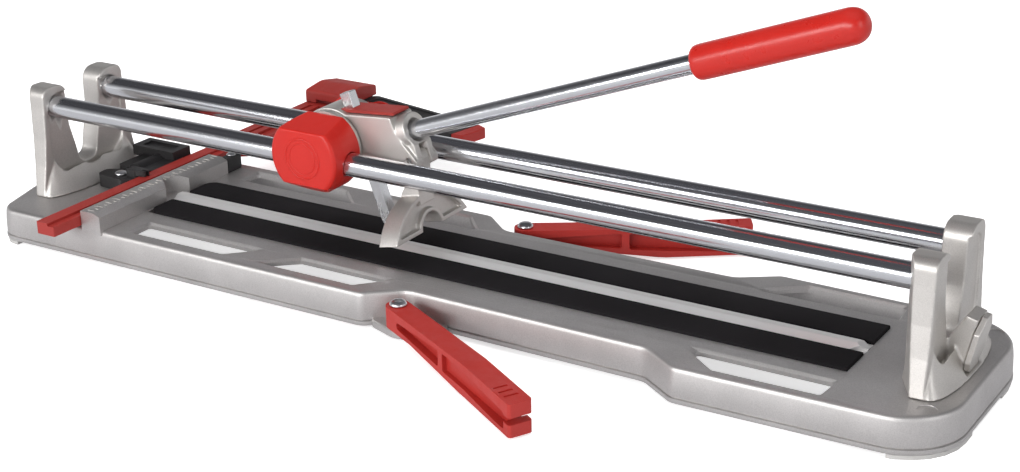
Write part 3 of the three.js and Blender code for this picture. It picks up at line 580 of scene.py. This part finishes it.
# ---- pads and ridge ----
def buildPad(side):
    plan = [(-272, 9.8, 3), (332, 9.8, 1), (332, 39.5, 1), (-272, 39.5, 10)]
    plan = plan if side > 0 else flip(plan)
    rings = [(0, 27.5), (0, 30.6), (0.25, 31.2), (0.9, 31.5)]
    return smooth(loft("pad", [ringAt(plan, d, z) for d, z in rings]))


for name, side in (("front", -1), ("back", 1)):
    pad = easeEdges(buildPad(side), 0.12, 1, 50)
    piece(pad, f"pad{name.title()}", "frame", "rubber", rubber, f"pad_{name}")

ridge = endways("ridge", [(-8, 27.5), (8, 27.5), (8, 30.3, 0.5), (3.0, 33.6, 0.9), (-3.0, 33.6, 0.9),
                          (-8, 30.3, 0.5)], -272, 332)
cut(ridge, sideways("bevel", [(322, 34.9), (333, 29.3), (333, 35)], -9, 9))
for side in (-1, 1):
    cut(ridge, prism("point", [(318, side * 9, 0), (333, side * 1.5, 0), (333, side * 9, 0)], 29.2, 36))
piece(easeEdges(ridge, 0.25, 2, 25), "ridge", "frame", "cast", machined, "breaking_ridge")


# ---- end supports ----
support = {"free": 370, "thick": 20, "spread": 32.4, "height": 102.5, "tip": 120, "valley": 47,
           "hand": 14.5}


def postPlan():
    spread, hand, tip, valley = support["spread"], support["hand"], support["tip"], support["valley"]
    return [
        (-57, 29.8), (57, 29.8), (49.5, 66, 160),
        (spread + hand, 104, 40), (spread + hand - 0.6, tip, 11), (spread - hand + 1.4, tip, 11),
        (spread - hand + 0.4, 84, 30), (12.4, 62, 18), (9.5, valley, 9.4),
        (-9.5, valley, 9.4), (-12.4, 62, 18), (-spread + hand - 0.4, 84, 30),
        (-spread + hand - 1.4, tip, 11), (-spread - hand + 0.6, tip, 11), (-spread - hand, 104, 40),
        (-49.5, 66, 160),
    ]


def flare(side, face, depth, half, rise, power):
    # concave foot that runs out from the posts on one face
    rings = []
    for level in range(13):
        share = level / 12
        reach = depth * (1 - share) ** power + 0.4
        width = half - (half - 38) * share
        ring = [(face - side * 4, -width, 29.8 + rise * share)]
        for step in range(25):
            angle = -math.pi / 2 + math.pi * step / 24
            x = face + side * reach * math.cos(angle) ** 0.7 if abs(math.cos(angle)) > 0.01 else face
            ring.append((x, width * math.sin(angle), 29.8 + rise * share))
        ring.append((face - side * 4, width, 29.8 + rise * share))
        rings.append(ring)
    return loft("flare", rings)


def valleyCut(x0, x1):
    plan = [(-11, support["valley"] - 1.5, 10), (11, support["valley"] - 1.5, 10),
            (14.4, 62, 18), (20, 84, 30), (20, 140),
            (-20, 140), (-20, 84, 30), (-14.4, 62, 18)]
    return endways("valley", plan, x0, x1)


def buildSupport(side):
    inner = side * support["free"]
    outer = inner + side * support["thick"]
    left, right = min(inner, outer), max(inner, outer)
    body = endways("support", postPlan(), left, right)
    apron = flare(1, right, 15.5, 57, 34, 2.0)
    cut(apron, valleyCut(left - 20, right + 20))
    join(body, apron)
    if side > 0:
        join(body, flare(-1, left, 5.0, 40, 15, 1.3))
    for way in (-1, 1):
        bevel = [(left - 8, way * 24), (left - 8, way * 64), (left + 14.3, way * 64)]
        cut(body, prism("bevel", bevel if way < 0 else bevel[::-1], 0, 150))
    # one broad hollow runs across both posts on the face that looks along +X
    panel = [(-42, 40, 26), (42, 40, 26), (42.6, 98, 14), (38, 113, 12), (-38, 113, 12), (-42.6, 98, 14)]
    cut(body, endways("panel", panel, right - 2.4, right + 3.0))
    if side > 0:
        rib = [(388, 29.8), (398.6, 29.8), (398.6, 32.5), (407, 70.5), (399, 72.5), (388, 55)]
        join(body, sideways("rib", rib, -10, 10))
        cut(body, sideways("bed", [(398.6, 31.4), (420, 31.4), (420, 72.5), (407.3, 72.5)], -13.3, 13.3))
    soften(body, 0.8, 5, 0.35)
    for y in (-support["spread"], support["spread"]):
        cut(body, rod("seat", 9.35, (inner - side * 20, y, support["height"]),
                      (inner + side * 14.3, y, support["height"]), 72))
        cut(body, rod("bolt", 4.3, (side * base["boltX"], y, 28), (side * base["boltX"], y, 50.8), 32))
    return smooth(body)


for name, side in (("Left", -1), ("Right", 1)):
    body = buildSupport(side)
    piece(body, f"support{name}", "frame", "cast", castBright, f"support_{name.lower()}")
    print("support", name, len(body.data.polygons))

badge = sideways("badge", [(399.0, 32.7, 1), (403.0, 31.8, 1), (411.6, 70.9, 1), (407.6, 71.8, 1)], -13, 13)
for way in (-1, 1):
    cut(badge, endways("clip", [(way * 14, 73), (way * 14, 60), (way * 3, 73)], 380, 420))
    cut(badge, endways("clip", [(way * 14, 30), (way * 14, 42), (way * 6, 30)], 380, 420))
piece(easeEdges(badge, 0.8, 3, 30), "badge", "frame", "cast", castBright, "badge_plate")

# ---- rails ----
for name, side in (("front", -1), ("back", 1)):
    y = side * support["spread"]
    rail = smooth(rod("rail", 9, (-384, y, support["height"]), (384, y, support["height"]), 128, 0.6))
    easeEdges(rail, 0.15, 2, 30)
    piece(rail, f"rail{name.title()}", "frame", "chrome", chrome, f"rail_{name}")


# ---- carriage caps ----
carriage = {"x": -99, "z": 107.5, "capRadius": 31, "rim": 20.3, "face": 52, "room": 15.6}


def buildCap(side):
    depth = carriage["face"] - carriage["rim"]
    radius = carriage["capRadius"]
    profile = [(0, 0), (radius, 0), (radius, depth * 0.62), (radius - 0.8, depth - 2.2),
               (radius - 2.4, depth - 0.5), (radius - 4, depth), (0, depth)]
    cap = turned("cap", profile, (carriage["x"], side * carriage["rim"], carriage["z"]), (0, side, 0), 128)
    for way in (1, -1):
        rimReach, rimCut = (19.3, 26.8) if way > 0 else (34, 31.4)
        # the back cap falls away more steeply
        faceCut = 12.5 if side > 0 and way > 0 else 21
        slope = [(side * 53, carriage["z"] + way * faceCut),
                 (side * 51, carriage["z"] + way * (faceCut + 0.5)),
                 (side * rimReach, carriage["z"] + way * rimCut),
                 (side * rimReach, carriage["z"] + way * 40),
                 (side * 53, carriage["z"] + way * 40)]
        cut(cap, endways("slope", slope, carriage["x"] - 40, carriage["x"] + 40))
    x0, x1 = carriage["x"] - 40, carriage["x"] + 40
    y, z = side * support["spread"], support["height"]
    room = carriage["room"]
    cut(cap, rod("room", room, (carriage["x"] - 23, y, z), (carriage["x"] + 23, y, z)))
    low, high = sorted((side * 19, y))
    cut(cap, block("room", carriage["x"] - 23, carriage["x"] + 23, low, high, z - room, z + room))
    soften(cap, 0.6, 6, 0.4)
    cut(cap, rod("way", 9.7, (x0, y, z), (x1, y, z), 96))
    ring = [(14.6, -1), (14.8, 0.25), (15.2, 0.45), (15.8, 0.45), (16.2, 0.25), (16.4, -1)]
    dish = [(11.2, -1), (11.3, 0.15), (11.6, 0.3), (12.0, 0.3), (12.3, 0.15), (12.4, -1)]
    middle = (carriage["x"], side * carriage["face"], carriage["z"])
    emblem = turned("emblem", ring, middle, (0, side, 0), 96)
    inner = turned("emblem", dish, middle, (0, side, 0), 96)
    return smooth(merge("cap", [cap, smooth(emblem), smooth(inner)]))


for name, side in (("front", -1), ("back", 1)):
    piece(buildCap(side), f"cap{name.title()}", "carriage", "grip_red", capRed, f"cap_{name}")
print("caps made")

# ---- lever, built level with its pivot at the origin and then turned into place ----
lever = {"angle": 19.8, "drop": 5.3, "rod": 7, "pinX": 65.3, "pinZ": -25.4, "across": 19.1, "side": 4.5,
         "wheelZ": -69}
leverPin = Matrix.Translation((carriage["x"], 0, carriage["z"]))
leverPlace = leverPin @ Matrix.Rotation(-lever["angle"] * degree, 4, "Y")


def buildHead():
    drum = rod("head", 29.2, (0, -14, 0), (0, 14, 0), 128)
    body = sideways("body", [(0, 25), (-20, 0), (0, -22), (30, -18.5, 12), (50, -21, 10), (58, -33.4, 8),
                             (71.6, -33.4, 4), (72.4, -27, 3), (61.4, -3.3, 4), (61.4, 9.4, 2),
                             (12, 22.5, 6)], -14, 14)
    fork = sideways("fork", [(46, -8), (55, -29.4, 6), (61, -33.4, 5), (71.6, -33.4, 4), (73.0, -16, 4),
                             (69.5, -6)], -11, 11)
    boss = rod("boss", 13.9, (40, 0, -lever["drop"]), (70.5, 0, -lever["drop"]), 96)
    join(drum, body, fork, boss)
    soften(drum, 0.6, 3, 0.4)
    cut(drum, block("slot", 53, 76, -5.3, 5.3, -38, -15.4))
    cut(drum, rod("bore", 7.3, (30.6, 0, -lever["drop"]), (78, 0, -lever["drop"]), 72))
    mouth = [(0, 0), (7, 0), (9.2, 1.6), (9.2, 9), (0, 9)]
    cut(drum, turned("mouth", mouth, (68.4, 0, -lever["drop"]), (1, 0, 0), 72))
    cut(drum, rod("pivot", 6.3, (0, -20, 0), (0, 20, 0), 48))
    cut(drum, block("bar", 14.3, 23.9, -4.8, 4.8, -60, 60))
    cut(drum, rod("pin", 2.8, (lever["pinX"], -20, lever["pinZ"]), (lever["pinX"], 20, lever["pinZ"]), 32))
    return place(smooth(drum), leverPlace)


head = piece(buildHead(), "leverHead", "lever", "cast", castBright, "lever_head")
print("head", len(head.data.polygons))

insert = sideways("insert", [(12.8, 22.9), (63, 9.7, 1), (63, 12.0, 1), (14, 25.2, 1)], -10, 10)
cut(insert, rod("drum", 29.4, (0, -12, 0), (0, 12, 0), 96), block("hole", 14.2, 24, -4.9, 4.9, 0, 40))
cut(insert, rod("boss", 13.9, (40, 0, -lever["drop"]), (70, 0, -lever["drop"]), 64))
piece(place(easeEdges(insert, 0.5, 2, 30), leverPlace), "headInsert", "lever", "red_plastic", stopRed,
      "head_insert")

rodRadius = lever["rod"]
rodProfile = [(0, 31), (rodRadius - 0.6, 31), (rodRadius, 31.6), (rodRadius, 430.4),
              (rodRadius - 0.6, 431), (0, 431)]
leverRod = smooth(turned("leverRod", rodProfile, (0, 0, -lever["drop"]), (1, 0, 0), 96))
piece(place(easeEdges(leverRod, 0.1, 1, 30), leverPlace), "leverRod", "lever", "chrome", chrome,
      "lever_rod")

grip = {"start": 316, "length": 127, "radius": 12.3}


def buildGrip():
    r, length = grip["radius"], grip["length"]
    profile = [(7.3, 0.5), (7.9, 0), (r - 2.4, 0), (r - 1.2, 0.5), (r - 0.5, 1.5), (r - 0.15, 3), (r, 6)]
    profile += [(r, length - 16 + 1.5 * step) for step in range(3)]
    for step in range(1, 13):
        angle = step * 90 / 12 * degree
        profile.append(((r - 0.02) * math.cos(angle) ** 0.8 if step < 12 else 0,
                        length - 12.5 + 12.5 * math.sin(angle)))
    profile += [(0, 115.6), (7.3, 115.4)]
    body = turned("grip", profile, (grip["start"], 0, -lever["drop"]), (1, 0, 0), 96)
    return place(smooth(body), leverPlace)


piece(buildGrip(), "grip", "lever", "grip_red", gripRed, "grip")

side, across, wheelZ = lever["side"], lever["across"], lever["wheelZ"]
holderPlan = [(across - side, 35), (across - side, wheelZ), (across, wheelZ - 4, 2),
              (across + side, wheelZ), (across + side, 35)]
holder = sideways("holder", holderPlan, -side, side)
cut(holder, block("slot", 7, 31, -1.5, 1.5, -76, -61))
cut(holder, rod("axle", 1.8, (across, -9, wheelZ), (across, 9, wheelZ), 24))
piece(place(easeEdges(holder, 0.9, 2, 40), leverPlace), "wheelHolder", "lever", "steel", zinc,
      "wheel_holder")

wheelRing = [(1.8, -1.2), (4.6, -1.2), (6.7, -0.15), (7.0, 0), (6.7, 0.15), (4.6, 1.2), (1.8, 1.2)]
wheel = turned("wheel", wheelRing, (across, 0, wheelZ), (0, 1, 0), 72)
piece(place(easeEdges(wheel, 0.1, 1, 30), leverPlace), "scoringWheel", "wheel", "carbide", carbide,
      "scoring_wheel")


# ---- breaker ----
breaker = {"tilt": 8, "drop": 56, "crest": 28, "thick": 17, "half": 48}
breakerPin = Matrix.Translation((lever["pinX"], 0, lever["pinZ"]))
breakerPlace = leverPlace @ breakerPin @ Matrix.Rotation(breaker["tilt"] * degree, 4, "Y")


def buildBreaker():
    front, rear = -0.6, -0.6 - breaker["thick"]
    rise = breaker["drop"] - breaker["crest"]
    radius = (breaker["half"] ** 2 + rise ** 2) / (2 * rise)
    centre = -breaker["crest"] - radius
    crown = rod("breaker", radius, (rear, 0, centre), (front, 0, centre), 256)
    cut(crown, block("below", rear - 1, front + 1, -90, 90, centre - radius - 1, -breaker["drop"]))
    neck = sideways("neck", [(rear, -34), (front, -34), (front, -26, 4), (3.5, -14, 3), (-6, -13, 3),
                             (rear, -27, 5)], -9, 9)
    tongue = sideways("tongue", [(-8, -15), (5, -15), (6, 0, 5), (4, 5.6, 4), (-4, 5.6, 4), (-6, 0, 5)],
                      -5, 5)
    join(crown, neck, tongue)
    dish = rod("dish", radius - 3.6, (front - 4.5, 0, centre), (front + 6, 0, centre), 256)
    cut(dish, block("sole", -60, 60, -90, 90, -300, -breaker["drop"] + 3.4))
    cut(dish, rod("rib", 16.2, (rear - 1, 0, -57), (front + 7, 0, -57), 96),
        block("neck", -60, 60, -9, 9, -36, 0))
    cut(crown, dish, rod("arch", 13, (rear - 1, 0, -57), (front + 1, 0, -57), 96))
    soften(crown, 0.6, 5, 0.4)
    cut(crown, rod("pin", 2.8, (0, -9, 0), (0, 9, 0), 32))
    return place(smooth(crown), breakerPlace)


arch = piece(buildBreaker(), "breaker", "breaker", "cast", castBright, "breaker")
print("breaker", len(arch.data.polygons))


# ---- swing-out arms ----
arm = {"reach": 180, "half": 9, "top": 26, "floor": 2, "front": -28, "back": 31}


def buildArm(side):
    reach, w, bend = arm["reach"], arm["half"], 4.5 * side
    floor, top = arm["floor"], arm["top"]
    plan = [(-w, -w, w), (reach * 0.62, -w, 60), (reach, -w + bend, 2.5), (reach, w + bend, 2.5),
            (reach * 0.62, w, 60), (-w, w, w)]
    body = prism("arm", plan, 0, 30)
    flank = [(-w, 9.9), (w + 24, 9.9, 10), (reach * 0.6, floor, 60), (reach + 1, floor, 1),
             (reach + 1, top, 1), (-w, top, 1)]
    keep(body, sideways("flank", flank, -w - 8, w + 8))
    for face in (-1, 1):
        y0 = -w - 9 if face < 0 else 3.2
        y1 = -3.2 if face < 0 else w + 9
        near = [(14, 14.6, 2), (76, 10, 2), (76, 22.6, 2), (14, 19.6, 2)]
        far = [(82, 9, 2), (reach - 24, 5.4, 2), (reach - 8, 5.4, 2), (reach - 8, 17.6, 2),
               (reach - 24, 18.6, 2), (82, 22.6, 2)]
        shift = bend * 0.5
        cut(body, sideways("near", near, y0, y1))
        cut(body, sideways("far", far, y0 + (shift if face > 0 else 0), y1 + (shift if face < 0 else 0)))
    cut(body, block("jaw", reach - 18, reach + 2, -w - 9, w + 9, 11, 16))
    cut(body, rod("bore", 4.3, (0, 0, -1), (0, 0, 31)))
    for step in range(3):
        x = reach - 27 + step * 7
        slot = [(x, -5.4 + bend, 0.9), (x + 2.2, -5.4 + bend, 0.9), (x + 2.2, 5.6 + bend, 0.9),
                (x, 5.6 + bend, 0.9)]
        cut(body, prism("groove", slot, 25.1, 28))
    easeEdges(body, 0.8, 3, 35)
    turn = Matrix.Rotation((arm["front"] if side < 0 else arm["back"]) * degree, 4, "Z")
    return place(body, Matrix.Translation((base["pivotX"], side * base["pivotY"], 0)) @ turn)


screwProfile = [(0, 3.3), (4, 3.3), (4, 26.3), (5.9, 26.3), (6.35, 26.6), (6.4, 27.1),
                (6.1, 27.9), (5.4, 28.8), (4.4, 29.5), (3.2, 29.95), (1.8, 30.15), (0, 30.2)]
for name, side in (("front", -1), ("back", 1)):
    piece(buildArm(side), f"arm{name.title()}", f"{name}_arm", "red_plastic", armRed, f"arm_{name}")
    screw = smooth(turned("screw", screwProfile, (base["pivotX"], side * base["pivotY"], 0)))
    piece(easeEdges(screw, 0.12, 1, 45), f"armScrew{name.title()}", "frame", "steel", zinc,
          f"arm_screw_{name}")
print("arms made")


# ---- sliding stop and fence ----
stop = {"left": -313, "right": -294.6, "front": -122, "back": 281, "floor": 31.5, "top": 41.5,
        "wideLeft": -318, "wideRight": -284}


def buildStopBar():
    plan = [(stop["left"], stop["front"], 1), (stop["right"], stop["front"], 1),
            (stop["right"], 96, 4), (stop["wideRight"], 104, 2),
            (stop["wideRight"], 236, 1), (stop["wideLeft"] + 11, 236, 2),
            (stop["wideLeft"] + 11, stop["back"], 1), (stop["wideLeft"], stop["back"], 1),
            (stop["wideLeft"], 104, 2), (stop["left"], 96, 4)]
    bar = prism("stopBar", plan, stop["floor"], stop["top"])
    cut(bar, block("step", -301.2, -293, stop["front"] - 1, 94, stop["top"] - 2, stop["top"] + 1))
    cut(bar, block("groove", -309, -305, 108, 226, stop["top"] - 1.6, stop["top"] + 1))
    cut(bar, block("groove", -299, -289, 112, 226, stop["top"] - 2.4, stop["top"] + 1))
    return easeEdges(bar, 0.6, 2, 30)


piece(buildStopBar(), "stopBar", "stop", "red_plastic", stopRed, "stop_bar")
cheek = endways("stopBlock", [(231, 41.8), (281, 41.8), (281, 51.5, 3), (256, 56.5, 30), (231, 53.5, 3)],
                -318, -272)
cut(cheek, rod("screw", 3.3, (-292, 266, 40), (-292, 266, 48.5), 32))
cut(cheek, endways("underside", [(229, 41), (229, 45), (240, 45, 1), (240, 41)], -306, -284))
piece(easeEdges(cheek, 1.6, 3, 30), "stopBlock", "stop", "red_plastic", stopRed, "stop_block")

fencePlace = Matrix.Translation((-292, 266, 0)) @ Matrix.Rotation(-12 * degree, 4, "Z")
fencePlan = [(-8, -8, 8), (10, -8, 4), (20, -18, 4), (153, -18, 1), (153, 18, 1), (20, 18, 4), (10, 8, 4),
             (-8, 8, 8)]
fence = prism("fence", fencePlan, 31.5, 41.2)
cut(fence, rod("screw", 3.3, (0, 0, 30), (0, 0, 42), 32),
    prism("tray", [(26, -14, 3), (148, -14, 3), (148, 14, 3), (26, 14, 3)], 40.2, 42))
piece(place(easeEdges(fence, 0.7, 2, 30), fencePlace), "fence", "fence", "black_plastic", blackPlastic,
      "fence_arm")
tip = prism("fenceTip", [(153.3, -18, 1), (165, -15, 3), (165, 15, 3), (153.3, 18, 1)], 31.5, 41.2)
piece(place(easeEdges(tip, 0.9, 3, 30), fencePlace), "fenceTip", "fence", "red_plastic", armRed,
      "fence_tip")

# ---- lock and guide ----
housing = prism("lockHousing", [(-353, 14, 3), (-315, 14, 3), (-315, 56, 3), (-353, 56, 3)], 29.8, 40.5)
barrel = rod("barrel", 9.4, (-334, 15, 34.1), (-334, 45, 34.1), 64)
keep(barrel, block("above", -360, -310, 0, 70, 30, 60))
join(housing, barrel, block("paddle", -363, -317, 44, 66, 38.5, 47.5))
cut(housing, block("well", -356, -324, 49, 61, 45.8, 49))
piece(easeEdges(housing, 1.0, 3, 35), "lockHousing", "frame", "black_plastic", blackPlastic, "lock_housing")

latch = prism("latch", [(-352, -13, 6), (-325, -15, 5), (-315.5, -8, 2), (-315.5, 5, 3), (-343, 6, 6),
                        (-353, 0, 5)], 29.8, 40.5)
join(latch, prism("bridge", [(-326, -6, 2), (-315, -5, 3), (-315, 4, 3), (-326, 5, 2)], 39.5, 46.5))
join(latch, prism("hook", [(-326, -6, 2), (-307, -3, 3), (-306, 4, 3), (-326, 5, 2)], 41.8, 46.5))
cut(latch, prism("fork", [(-312, -1.4, 1.2), (-300, -1.0, 0), (-300, 1.4, 0), (-312, 1.0, 1.2)], 41, 48))
cut(latch, rod("bore", 3.3, (-333, -4, 20), (-333, -4, 52), 32))
piece(easeEdges(latch, 0.9, 3, 35), "lockLever", "lock", "black_plastic", blackPlastic, "lock_lever")

lockScrewProfile = [(0, 29.8), (3, 29.8), (3, 40.8), (5, 40.8), (5, 41.4), (4.4, 42.4), (2.6, 43.2),
                    (0, 43.6)]
piece(smooth(turned("lockScrew", lockScrewProfile, (-333, -4, 0))), "lockScrew", "frame", "steel", zinc,
      "lock_screw")
guide = prism("guide", [(-282, 64.3, 1), (-274, 64.3, 1), (-274, 84, 3), (-282, 84, 3)], 29.8, 43)
piece(easeEdges(guide, 0.8, 3, 30), "guideBlock", "frame", "black_plastic", blackPlastic, "guide_block")
guideScrewProfile = [(0, 43.3), (4, 43.3), (4, 43.8), (3.2, 44.6), (1.6, 44.95), (0, 45)]
piece(smooth(turned("guideScrew", guideScrewProfile, (-278, 74, 0))), "guideScrew", "frame", "steel",
      zinc, "guide_screw")

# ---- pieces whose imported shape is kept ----
keptFinishes = {
    castBright: ["carriage_front", "carriage_back"],
    bronze: ["bush_front", "bush_back"],
    zinc: ["pivot_pin", "wheel_axle", "breaker_pin", "fence_screw",
           "bolt_left_front", "bolt_left_back", "bolt_right_front", "bolt_right_back"],
    greyRubber: ["foot_front_left", "foot_front_right", "foot_back_left", "foot_back_right", "foot_centre"],
}
for material, names in keptFinishes.items():
    for name in names:
        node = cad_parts[name]
        node.data.materials.clear()
        node.data.materials.append(material)
print("kept pieces painted")


# ---- floor, light and camera ----
def buildStage():
    reach = 12
    mesh = bpy.data.meshes.new("floor")
    corners = [(-reach, -reach, 0), (reach, -reach, 0), (reach, reach, 0), (-reach, reach, 0)]
    mesh.from_pydata(corners, [], [(0, 1, 2, 3)])
    floor = bpy.data.objects.new("floor", mesh)
    bpy.context.scene.collection.objects.link(floor)
    settings = {"Roughness": 0.9, "Specular IOR Level": 0.1}
    material, nodes, links, shader, spot = nodeMaterial("floorPaper", settings)
    # painted light: the floor's colour drops to a darker grey in glossy rays, a painted shade on its
    # reflection in the chrome, and the floor glows, fully to the camera and faintly to other rays, a painted
    # light that fills the shadows cast on it
    path = nodes.new("ShaderNodeLightPath")
    paintedReflectionShade = ramp(nodes, links, path.outputs["Is Glossy Ray"],
                    [(0.0, (0.86, 0.86, 0.86)), (1.0, (0.42, 0.42, 0.43))])
    links.new(paintedReflectionShade, shader.inputs["Base Color"])
    paintedFloorGlow = ramp(nodes, links, path.outputs["Is Camera Ray"],
                [(0.0, (0.26, 0.26, 0.27)), (1.0, (1.0, 1.0, 1.0))])
    links.new(paintedFloorGlow, shader.inputs["Emission Color"])
    shader.inputs["Emission Strength"].default_value = 0.62
    floor.data.materials.append(material)


def areaLight(name, place3d, aim, size, power, glossy=True):
    light = bpy.data.lights.new(name, "AREA")
    light.shape = "RECTANGLE"
    light.size, light.size_y = size
    light.energy = power
    lamp = bpy.data.objects.new(name, light)
    lamp.location = place3d
    lamp.rotation_euler = (Vector(place3d) - Vector(aim)).to_track_quat("Z", "Y").to_euler()
    lamp.visible_glossy = glossy
    bpy.context.scene.collection.objects.link(lamp)


def buildWorld(stops, strength):
    world = bpy.data.worlds.new("studio")
    bpy.context.scene.world = world
    world.use_nodes = True
    nodes, links = world.node_tree.nodes, world.node_tree.links
    spot = nodes.new("ShaderNodeTexCoord")
    split = nodes.new("ShaderNodeSeparateXYZ")
    links.new(spot.outputs["Generated"], split.inputs["Vector"])
    colour = ramp(nodes, links, split.outputs["Z"], stops)
    links.new(colour, nodes["Background"].inputs["Color"])
    nodes["Background"].inputs["Strength"].default_value = strength


def buildCamera():
    camera = bpy.data.cameras.new("camera")
    camera.sensor_width = 36
    camera.sensor_fit = "HORIZONTAL"
    camera.lens = 65.09
    camera.clip_start = 0.02
    camera.clip_end = 60
    eye = bpy.data.objects.new("camera", camera)
    azimuth, elevation, roll = 32.13 * degree, 21.57 * degree, -1.14 * degree
    forward = Vector((-math.sin(azimuth) * math.cos(elevation), math.cos(azimuth) * math.cos(elevation),
                      -math.sin(elevation)))
    right = Vector((math.cos(azimuth), math.sin(azimuth), 0))
    up = right.cross(forward)
    across = right * math.cos(roll) + up * math.sin(roll)
    upright = up * math.cos(roll) - right * math.sin(roll)
    turn = Matrix((across, upright, -forward)).transposed()
    eye.matrix_world = Matrix.Translation((0.72384, -1.07243, 0.55720)) @ turn.to_4x4()
    bpy.context.scene.collection.objects.link(eye)
    bpy.context.scene.camera = eye


buildStage()
areaLight("overhead", (0, 0.2, 3.2), (0, 0, 0), (5, 5), 112, glossy=False)
areaLight("key", (-0.4, -2.3, 0.9), (0, 0, 0.05), (2.6, 0.6), 47)
areaLight("side", (2.4, -0.6, 1.1), (0.2, 0, 0.1), (1.0, 1.0), 10)
skyStops = [(0.0, (0.95, 0.95, 0.96)), (0.16, (0.75, 0.75, 0.77)), (0.34, (0.30, 0.30, 0.31)),
            (0.62, (0.05, 0.05, 0.055)), (1.0, (0.10, 0.10, 0.11))]
buildWorld(skyStops, 1.0)
buildCamera()
bpy.context.scene.view_settings.view_transform = "Standard"
print("stage made")
